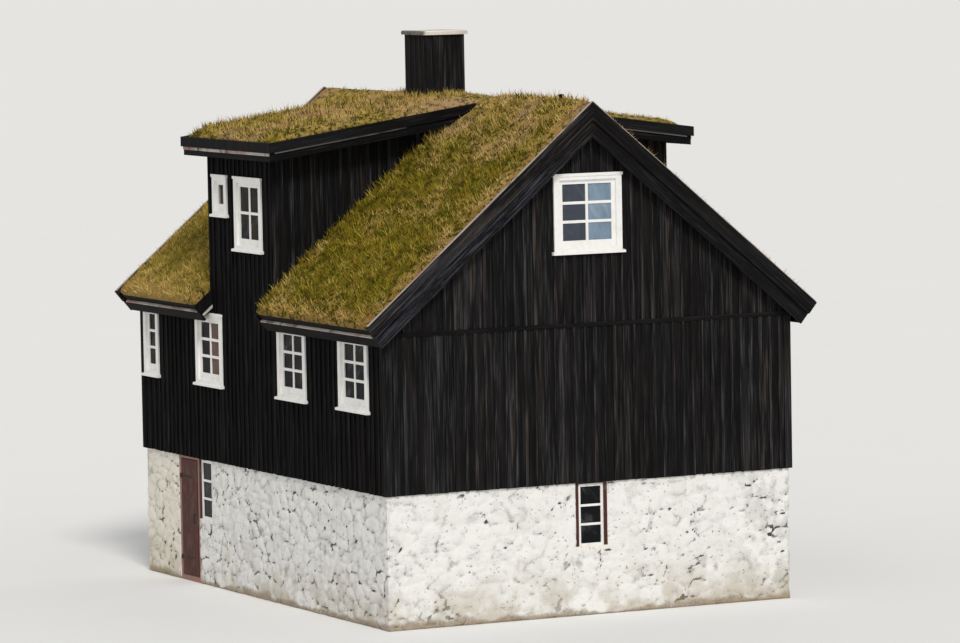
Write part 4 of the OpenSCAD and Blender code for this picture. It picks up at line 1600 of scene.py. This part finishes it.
@dataclass
class SodBed:
    """One bed of sod: a softened copy of a stretch of the CAD turf, with the grass on it."""

    name: str
    node: str
    y0: float
    y1: float
    stands_for: bool
    seed: int
    voxel: float = 0.058
    swell: float = 0.024
    crown: float = 0.035
    sag: float = 0.0
    tall: float = 1.0
    per_square: float = 190.0
    stalks_per_square: float = 16.0
    apart: float = 0.034
    stalks_apart: float = 0.10

    def soften(self) -> bpy.types.Mesh:
        """Copies the CAD turf between the bed's ends and rounds it.

        Returns:
            The rounded mesh.
        """
        bm = bmesh.new()
        bm.from_mesh(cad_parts[self.node].data)
        bmesh.ops.remove_doubles(bm, verts=bm.verts[:], dist=1e-5)
        gone = [v for v in bm.verts if not self.y0 < v.co.y < self.y1]
        bmesh.ops.delete(bm, geom=gone, context="VERTS")
        bed = link("bed", mesh_of(bm, "bed"))
        remesh = bed.modifiers.new("soften", "REMESH")
        remesh.mode, remesh.voxel_size = "VOXEL", self.voxel
        return applied(bed)

    def roughen(self, mesh: bpy.types.Mesh) -> Shape:
        """Raises hummocks on the bed's upper faces and marks where grass grows.

        Args:
            mesh: The rounded bed.

        Returns:
            The bed with its hummocks.
        """
        bm = bmesh.new()
        bm.from_mesh(mesh)
        bm.normal_update()
        for name in ("grow", "inner"):
            bm.verts.layers.float.new(name)
        grow, inner = (bm.verts.layers.float[name] for name in ("grow", "inner"))
        moves = []
        for v in bm.verts:
            face_up = smoothstep(0.25, 0.75, v.normal.z)
            spot = v.co + Vector((0.0, 0.0, self.seed * 3.0))
            swell = noise.noise(spot * 2.2) * 0.6 + noise.noise(spot * 6.5) * 0.45
            swell += noise.noise(spot * 17.0) * 0.35
            bald = min((v.co - Vector((0.0, y, v.co.z))).length for y in DORMER_TIP_Y)
            trodden = smoothstep(1.9, 2.6, v.co.y) * (1.0 - smoothstep(0.3, 1.3, abs(v.co.x)))
            thick = (0.25 + 0.75 * smoothstep(0.3, 0.8, bald)) * (1.0 - 0.7 * trodden)
            thick *= 0.55 + 0.45 * smoothstep(0.05, 0.40, TIP_Y - abs(v.co.y))
            brink = 0.0 if abs(v.normal.x) > abs(v.normal.y) else 0.2
            v[grow] = smoothstep(brink, brink + 0.35, v.normal.z) * thick
            edge = min(TIP_X - abs(v.co.x), TIP_Y - abs(v.co.y))
            v[inner] = v[grow] * smoothstep(0.12, 0.35, edge)
            crown = self.crown * smoothstep(0.02, 0.45, min(edge, bald - 0.2)) * (1.0 - trodden)
            rise = self.swell * swell + crown - self.sag * smoothstep(0.1, 1.2, abs(v.co.x))
            moves.append((v, v.normal * face_up * rise + Vector((0, 0, 0.004 * face_up))))
        for v, move in moves:
            v.co += move
        return bm

    def blade(self, rng: random.Random, tall: Span, bend: Span, width: float, turn: float,
              jointed: bool) -> Shape:
        """Makes one tapered blade of grass that leans outwards.

        Args:
            rng: Where its size and its place in the tuft are drawn from.
            tall: Its least and greatest height.
            bend: How far its tip leans out, at least and at most.
            width: Its half width at the root.
            turn: The direction in which it leans.
            jointed: Whether it is bent half-way up.

        Returns:
            The blade.
        """
        height, reach = rng.uniform(*tall), rng.uniform(*bend)
        bm = bmesh.new()
        bmesh.ops.create_cone(bm, cap_ends=True, cap_tris=True, segments=3, radius1=width,
                              radius2=0.0, depth=1.0, matrix=Matrix.Translation((0, 0, 0.5)))
        if jointed:
            split(bm, (0, 0, 0.55), (0, 0, 1))
        bmesh.ops.triangulate(bm, faces=bm.faces[:])
        for v in bm.verts:
            rise = v.co.z
            v.co = Vector((v.co.x + reach * rise * rise, v.co.y, rise * height - 0.012))
        shift = Matrix.Rotation(turn, 4, "Z") @ Matrix.Translation((rng.uniform(0.004, 0.032), 0, 0))
        bmesh.ops.transform(bm, matrix=shift, verts=bm.verts)
        return bm

    def tuft(self, stalks: bool) -> bpy.types.Object:
        """Makes one tuft of bent and straight blades, or one of tall thin stalks.

        Args:
            stalks: Whether it is the tuft of stalks.

        Returns:
            The tuft's object, which isn't part of the house.
        """
        stalk = ((0.14, 0.20), (0.03, 0.08), 0.005, True)
        bent = ((0.085, 0.115), (0.035, 0.07), 0.0075, True)
        straight = ((0.06, 0.09), (0.015, 0.05), 0.0065, False)
        rng = random.Random(9 if stalks else 5)
        bm = bmesh.new()
        kinds = [stalk] * 3 if stalks else [bent] * 2 + [straight] * 4
        for i, (tall, bend, width, jointed) in enumerate(kinds):
            merge(bm, self.blade(rng, tall, bend, width, i * 2.1 + rng.random(), jointed))
        return bpy.data.objects.new("tuft", mesh_of(bm, "tuft"))

    def strew(self, graph: Graph, ground: bpy.types.NodeSocket, tuft: bpy.types.Object,
              where: str, per_square: float, apart: float, seed: int) -> Val:
        """Adds the nodes that set one kind of tuft over the bed.

        Args:
            graph: The node tree.
            ground: The bed.
            tuft: The tuft.
            where: The attribute that says how thickly it grows.
            per_square: The most tufts on a square metre.
            apart: The least distance between two.
            seed: Start of the random draws.

        Returns:
            The tufts, as instances that carry their tint.
        """
        number = {"data_type": "FLOAT"}
        grow = graph.value("GeometryNodeInputNamedAttribute", number, {"Name": where})
        spots = graph.add("GeometryNodeDistributePointsOnFaces", {"distribute_method": "POISSON"},
                          {"Mesh": ground, "Distance Min": apart, "Density Max": per_square,
                           "Density Factor": grow, "Seed": seed})
        outward = graph.value("ShaderNodeVectorMath", {"operation": "MULTIPLY_ADD"},
                              {0: spots.outputs["Normal"], 1: (0.7, 0.7, 0.7), 2: (0.0, 0.0, 1.0)})
        stand = graph.value("FunctionNodeAlignRotationToVector", {"axis": "Z"}, {"Vector": outward})
        lean = graph.value("FunctionNodeRandomValue", {"data_type": "FLOAT_VECTOR"},
                           {0: (-0.42, -0.42, 0.0), 1: (0.42, 0.42, 2 * math.pi), "Seed": seed + 1})
        turned = graph.value("FunctionNodeRotateRotation", {"rotation_space": "LOCAL"},
                             {"Rotation": stand, "Rotate By": lean})
        size = graph.value("FunctionNodeRandomValue", number, {2: 0.55, 3: 1.2, "Seed": seed + 2})
        size = size * (grow * 0.55 + 0.45) * self.tall
        kind = graph.add("GeometryNodeObjectInfo", None, {"Object": tuft}).outputs["Geometry"]
        sown = graph.value("GeometryNodeInstanceOnPoints", None,
                           {"Points": spots.outputs["Points"], "Instance": kind, "Rotation": turned,
                            "Scale": size})
        tint = graph.value("FunctionNodeRandomValue", number, {2: 0.0, 3: 1.0, "Seed": seed + 3})
        return graph.value("GeometryNodeStoreNamedAttribute", {**number, "domain": "INSTANCE"},
                           {"Geometry": sown, "Name": "tint", "Value": tint})

    def sow(self, bed: bpy.types.Object) -> bpy.types.Mesh:
        """Sets tufts and stalks all over the bed.

        Args:
            bed: The finished bed.

        Returns:
            One mesh of all its grass.
        """
        tufts = [self.tuft(False), self.tuft(True)]
        graph = Graph(bpy.data.node_groups.new("sow", "GeometryNodeTree"))
        for way in ("INPUT", "OUTPUT"):
            graph.tree.interface.new_socket("Geometry", in_out=way, socket_type="NodeSocketGeometry")
        ground = graph.add("NodeGroupInput").outputs[0]
        grass = self.strew(graph, ground, tufts[0], "grow", self.per_square, self.apart, self.seed)
        stalks = self.strew(graph, ground, tufts[1], "inner", self.stalks_per_square, self.stalks_apart,
                            self.seed + 50)
        both = graph.add("GeometryNodeJoinGeometry", None, {0: stalks})
        graph.tree.links.new(grass.socket, both.inputs[0])
        whole = graph.value("GeometryNodeRealizeInstances", None, {"Geometry": both.outputs[0]})
        graph.add("NodeGroupOutput", None, {0: whole})
        sower = link("sower", bed.data)
        sower.modifiers.new("sow", "NODES").node_group = graph.tree
        mesh = applied(sower)
        for tuft in tufts:
            bpy.data.objects.remove(tuft)
        return mesh

    def build(self) -> None:
        """Makes the bed and its grass."""
        shape = self.roughen(self.soften())
        bed = publish(shape, f"sod_{self.name}", SOD, smooth=True)
        if self.stands_for:
            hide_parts(self.node)
        publish(self.sow(bed), f"grass_{self.name}", GRASS)


def beds() -> list[SodBed]:
    """Plans the beds of sod.

    Returns:
        Two stretches on each slope and one on each dormer.
    """
    past, lap = 9.0, 0.3
    found = []
    for seed, side, sag, tall in ((3, "left", 0.0, 0.9), (13, "right", 0.05, 0.5)):
        turf = f"turf_{side}"
        found.append(SodBed(f"{side}_near", turf, -past, DORMER_Y[0] + lap, True, seed))
        found.append(SodBed(f"{side}_far", turf, DORMER_Y[1] - lap, past, False, seed + 2))
        found.append(SodBed(f"dormer_{side}", f"dormer_{turf}", -past, past, True, seed + 4, crown=0.02,
                            sag=sag, tall=tall, per_square=175.0, stalks_per_square=8.0))
    return found


def lengths(rng: random.Random, start: float, end: float, spare: float, size: Span,
            gap: Span | None = None) -> Iterator[Span]:
    """Divides a row into strips of uneven length.

    Args:
        rng: Where the lengths are drawn from.
        start: Where the row starts.
        end: Where it ends.
        spare: The stretch at its end in which no strip starts.
        size: The least and the greatest length of a strip.
        gap: The least and the greatest gap after it, or None where they butt.

    Yields:
        Where each strip starts and how long it is.
    """
    at = start
    while at < end - spare:
        run = min(rng.uniform(*size), end - at)
        yield at, run
        at += run + (rng.uniform(*gap) if gap else 0.0)


@dataclass
class RoofEdges:
    """Weathered strips, sticks and the peg on the ridge that trim the roof's edges."""

    strip_t: float = 0.012
    verge_w: float = 0.036
    eaves_w: float = 0.044
    eaves_lift: float = 0.11
    dormer_step: float = DORMER_T - 0.085 - 0.14
    dormer_verge: tuple[float, float, float] = (2.1, 0.028, 0.024)
    dormer_verge_x: float = 1.25
    stick: tuple[float, float, float] = (0.27, 0.018, 0.034)
    stick_in: float = 0.21
    stick_lift: float = 0.02
    peg_r: Span = (0.045, 0.036)
    peg_h: float = 0.20
    peg_in: float = 0.95
    seed: int = 7

    def lay(self, bm: Shape, side: float, pitch: float, start: Span, size: tuple[float, float, float],
            y0: float) -> None:
        """Lays one flat strip down a slope.

        Args:
            bm: Where it goes.
            side: -1 for the left slope, 1 for the right.
            pitch: The slope's pitch.
            start: Distance from the ridge and height of its upper end.
            size: Its length down the slope, its width along the ridge and its thickness.
            y0: Where its width starts.
        """
        length, width, thick = size
        verts = add_box(bm, (0.0, y0, 0.0), (length, y0 + width, thick))
        fit = Matrix.Translation((start[0], 0.0, start[1])) @ Matrix.Rotation(pitch, 4, "Y")
        if side < 0:
            fit = Matrix.Scale(-1.0, 4, (1.0, 0.0, 0.0)) @ fit
        bmesh.ops.transform(bm, matrix=fit, verts=verts)

    def nail(self, bm: Shape, name: str, finish: Finish, ease: float = 0.002) -> None:
        """Makes a piece of some strips.

        Args:
            bm: The strips.
            name: The piece's name.
            finish: Its finish.
            ease: How much comes off each edge.
        """
        bmesh.ops.recalc_face_normals(bm, faces=bm.faces[:])
        ease_edges(bm, ease)
        publish(bm, name, finish)

    def verge_strips(self) -> None:
        """Lays a weathered strip along the top of each bargeboard, in butted lengths."""
        rng = random.Random(self.seed)
        down = (TIP_X - 0.02) / math.cos(ROOF_PITCH)
        for name, y0, sunk in (("front", -TIP_Y + 0.002, 0.003), ("back", TIP_Y - 0.040, 0.009)):
            bm = bmesh.new()
            for side in BOTH:
                for at, run in lengths(rng, 0.0, down, 0.2, (0.9, 1.7)):
                    x = at * math.cos(ROOF_PITCH)
                    size = (run - 0.004, self.verge_w, self.strip_t + rng.uniform(0.0, 0.004))
                    self.lay(bm, side, ROOF_PITCH, (x, roof_z(x, ROOF_T) - sunk), size,
                             y0 + rng.uniform(-0.002, 0.004))
            self.nail(bm, f"verge_strips_{name}", PALE_ROOF)

    def eaves_strips(self) -> None:
        """Lays broken weathered strips on the step of the eaves boards."""
        rng = random.Random(self.seed + 1)
        bm = bmesh.new()
        x = edge_x(self.eaves_lift, 0.040)
        start = (x, roof_z(x, self.eaves_lift))
        for side in BOTH:
            for y0, y1 in ((-TIP_Y + 0.075, DORMER_Y[0] - 0.02), (DORMER_Y[1] + 0.02, TIP_Y - 0.075)):
                for at, run in lengths(rng, y0, y1, 0.25, (0.45, 1.3), (0.004, 0.05)):
                    size = (self.eaves_w, run, 0.013 + rng.uniform(0, 0.005))
                    self.lay(bm, side, ROOF_PITCH, start, size, at)
        self.nail(bm, "eaves_strips", PALE_RIDGE)

    def dormer_strips(self) -> None:
        """Fixes pale strips under the upper board of each dormer front, and grey ones down its verges."""
        rng = random.Random(self.seed + 2)
        bm, verge = bmesh.new(), bmesh.new()
        near, far = DORMER_TIP_Y
        z = dormer_z(DORMER_TIP_X, self.dormer_step)
        start = (self.dormer_verge_x, dormer_z(self.dormer_verge_x, self.dormer_step) - 0.026)
        for side in BOTH:
            left, right = sorted(side * x for x in (DORMER_TIP_X - EDGE_BOARD - 0.002, DORMER_TIP_X - 0.016))
            for at, run in lengths(rng, near + 0.05, far - 0.05, 0.25, (0.7, 1.5), (0.01, 0.06)):
                add_box(bm, (left, at, z - 0.043 + rng.uniform(-0.003, 0.003)), (right, at + run, z - 0.001))
            for y in (near + 0.013, far - EDGE_BOARD - 0.006):
                self.lay(verge, side, DORMER_PITCH, start, self.dormer_verge, y)
        self.nail(bm, "dormer_front_strips", PALE_RIDGE)
        self.nail(verge, "dormer_verge_strips", PALE_DORMER)

    def sticks(self) -> None:
        """Nails a short pale stick to the outer end of each board beside the dormers."""
        bm = bmesh.new()
        x = edge_x(self.stick_lift, 0.02) - self.stick_in
        start = (x, roof_z(x, self.stick_lift))
        for side in BOTH:
            for y in (DORMER_Y[0] + EDGE_BOARD, DORMER_Y[1] - EDGE_BOARD - self.stick[1]):
                self.lay(bm, side, ROOF_PITCH, start, self.stick, y)
        self.nail(bm, "eaves_end_sticks", PALE_STICK, 0.003)

    def peg(self) -> None:
        """Sets a short dark peg in the ridge behind the gable."""
        bm = bmesh.new()
        foot_r, head_r = self.peg_r
        middle = Matrix.Translation((0.0, -TIP_Y + self.peg_in, RIDGE_Z - 0.02))
        bmesh.ops.create_cone(bm, cap_ends=True, segments=14, radius1=foot_r, radius2=head_r,
                              depth=self.peg_h, matrix=middle)
        ease_edges(bm, 0.006)
        publish(bm, "ridge_peg", TAR_UPRIGHT)

    def build(self) -> None:
        """Makes all the edge trim."""
        self.verge_strips()
        self.eaves_strips()
        self.dormer_strips()
        self.sticks()
        self.peg()


# Whole house


@dataclass
class Dress:
    """Finishes of the CAD nodes that stay in view."""

    finishes: tuple[tuple[Finish, tuple[str, ...]], ...] = (
        (PAVING, ("basement_floor",)),
        (LIME, ("basement_front_wall", "basement_back_wall", "basement_right_wall",
                "basement_left_wall_near", "basement_left_wall_far")),
        (RED_FRAME, ("basement_door_frame",)),
        (DOOR, ("basement_door",)),
        (RED_CELLAR, ("basement_window_frames",)),
        (WHITE, ("basement_window_sashes", "gable_window_frames", "left_window_frames",
                 "right_window_frames", "dormer_window_frames")),
        (GLASS, ("basement_window_glass", "gable_window_glass")),
        (SIDE_GLASS, ("side_window_glass", "dormer_window_glass")),
        (FLOOR_PLANKS, ("main_floor", "loft_floor")),
        (TIMBER, ("front_wall", "back_wall", "left_wall", "right_wall", "dormer_front_left",
                  "dormer_front_right", "dormer_cheeks_left", "dormer_cheeks_right")),
        (TAR_ACROSS, ("gable_trims",)),
        (DECK_PLANKS, ("roof_deck_left", "roof_deck_right", "dormer_roof_left", "dormer_roof_right")),
        (TAR_ROOF, ("bargeboards_front", "bargeboards_back")),
        (TAR_DORMER, ("dormer_bargeboards_left", "dormer_bargeboards_right")),
        (TAR_RIDGE, ("eaves_boards_left", "eaves_boards_right")),
        (MASONRY, ("chimney_stack",)),
        (TAR_UPRIGHT, ("chimney_boarding",)),
        (SLAB, ("chimney_cap",)),
        (SOD, ("turf_left", "turf_right", "dormer_turf_left", "dormer_turf_right")),
    )

    def build(self) -> None:
        """Gives each CAD node its finish."""
        for finish, names in self.finishes:
            for name in names:
                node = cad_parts[name]
                if not node.material_slots:
                    node.data.materials.append(None)
                for slot in node.material_slots:
                    slot.material = material_of(finish)
                log.info("%s: %s", name, finish.label)


@dataclass
class Studio:
    """Floor, light and camera."""

    camera_at: tuple[float, float, float] = (-35.76, -72.34, 10.18)
    aim: tuple[float, float, float] = (0.33, -0.13, 3.86)
    lens: float = 207.0
    roll: float = -1.05
    sun: float = 1.7
    sun_from: tuple[float, float, float] = (-0.20, -0.72, 0.665)
    sun_angle: float = 14.0
    sun_colour: Rgb = (1.0, 0.975, 0.94)
    sky: float = 0.54
    white: Rgb = (1.0, 1.0, 1.0)
    backdrop: Rgb = (0.86, 0.87, 0.88)

    def floor(self) -> None:
        """Lays the floor just under the house."""
        bm = bmesh.new()
        bmesh.ops.create_grid(bm, x_segments=4, y_segments=4, size=600.0,
                              matrix=Matrix.Translation((0.0, 0.0, -0.002)))
        floor = link("studio_floor", mesh_of(bm, "studio_floor"))
        floor.data.materials.append(material_of(Ground("studio_floor")))
        floor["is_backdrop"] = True

    def light(self) -> None:
        """Lights the house with a soft sky and a soft sun, before a pale backdrop."""
        world = bpy.data.worlds.new("studio")
        bpy.context.scene.world = world
        world.use_nodes = True
        graph = Graph(world.node_tree)
        graph.tree.nodes.clear()
        rays = graph.add("ShaderNodeLightPath").outputs
        camera, glossy, through = (Val(graph, rays[name]) for name in (
            "Is Camera Ray", "Is Glossy Ray", "Is Transmission Ray"))
        light = graph.add("ShaderNodeBackground", None, {"Color": self.white, "Strength": self.sky})
        show = graph.add("ShaderNodeBackground", None, {"Color": self.backdrop, "Strength": 1.0})
        seen = camera.greatest(glossy).greatest(through)
        both = graph.add("ShaderNodeMixShader", None, {0: seen, 1: light.outputs[0], 2: show.outputs[0]})
        graph.add("ShaderNodeOutputWorld", None, {"Surface": both.outputs[0]})
        lamp = bpy.data.lights.new("key", "SUN")
        lamp.energy, lamp.angle, lamp.color = self.sun, math.radians(self.sun_angle), self.sun_colour
        link("key", lamp).rotation_euler = Vector(self.sun_from).to_track_quat("Z", "Y").to_euler()

    def camera(self) -> None:
        """Sets the camera at the photograph's angle."""
        lens = bpy.data.cameras.new("camera")
        lens.lens, lens.sensor_width, lens.clip_start, lens.clip_end = self.lens, 36.0, 1.0, 3000.0
        camera = link("camera", lens)
        look = Vector(self.camera_at) - Vector(self.aim)
        spin = Matrix.Rotation(math.radians(self.roll), 4, "Z")
        camera.matrix_world = (Matrix.Translation(self.camera_at)
                               @ look.to_track_quat("Z", "Y").to_matrix().to_4x4() @ spin)
        bpy.context.scene.camera = camera

    def build(self) -> None:
        """Sets the floor, the light and the camera."""
        self.floor()
        self.light()
        self.camera()
        bpy.context.scene.view_settings.view_transform = "Standard"


def write_sizes() -> None:
    """Works out the CAD box and the dressed house's box as plain lists of numbers."""
    boxes = {"cad": CAD_BOX, "visual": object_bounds()}
    plain = {name: [[float(x) for x in corner] for corner in box] for name, box in boxes.items()}


def main() -> None:
    """Builds the studio and every piece of the house, in order."""
    logging.basicConfig(level=logging.INFO, format="%(message)s")
    for part in (Studio(), Dress(), WallBoards(), WindowBars(), Curtains(), RubbleSkin(), RoofEdges(),
                 DoorBoards(), *beds()):
        part.build()
        log.info("%s done", type(part).__name__)
    write_sizes()


if __name__ == "__main__":
    main()
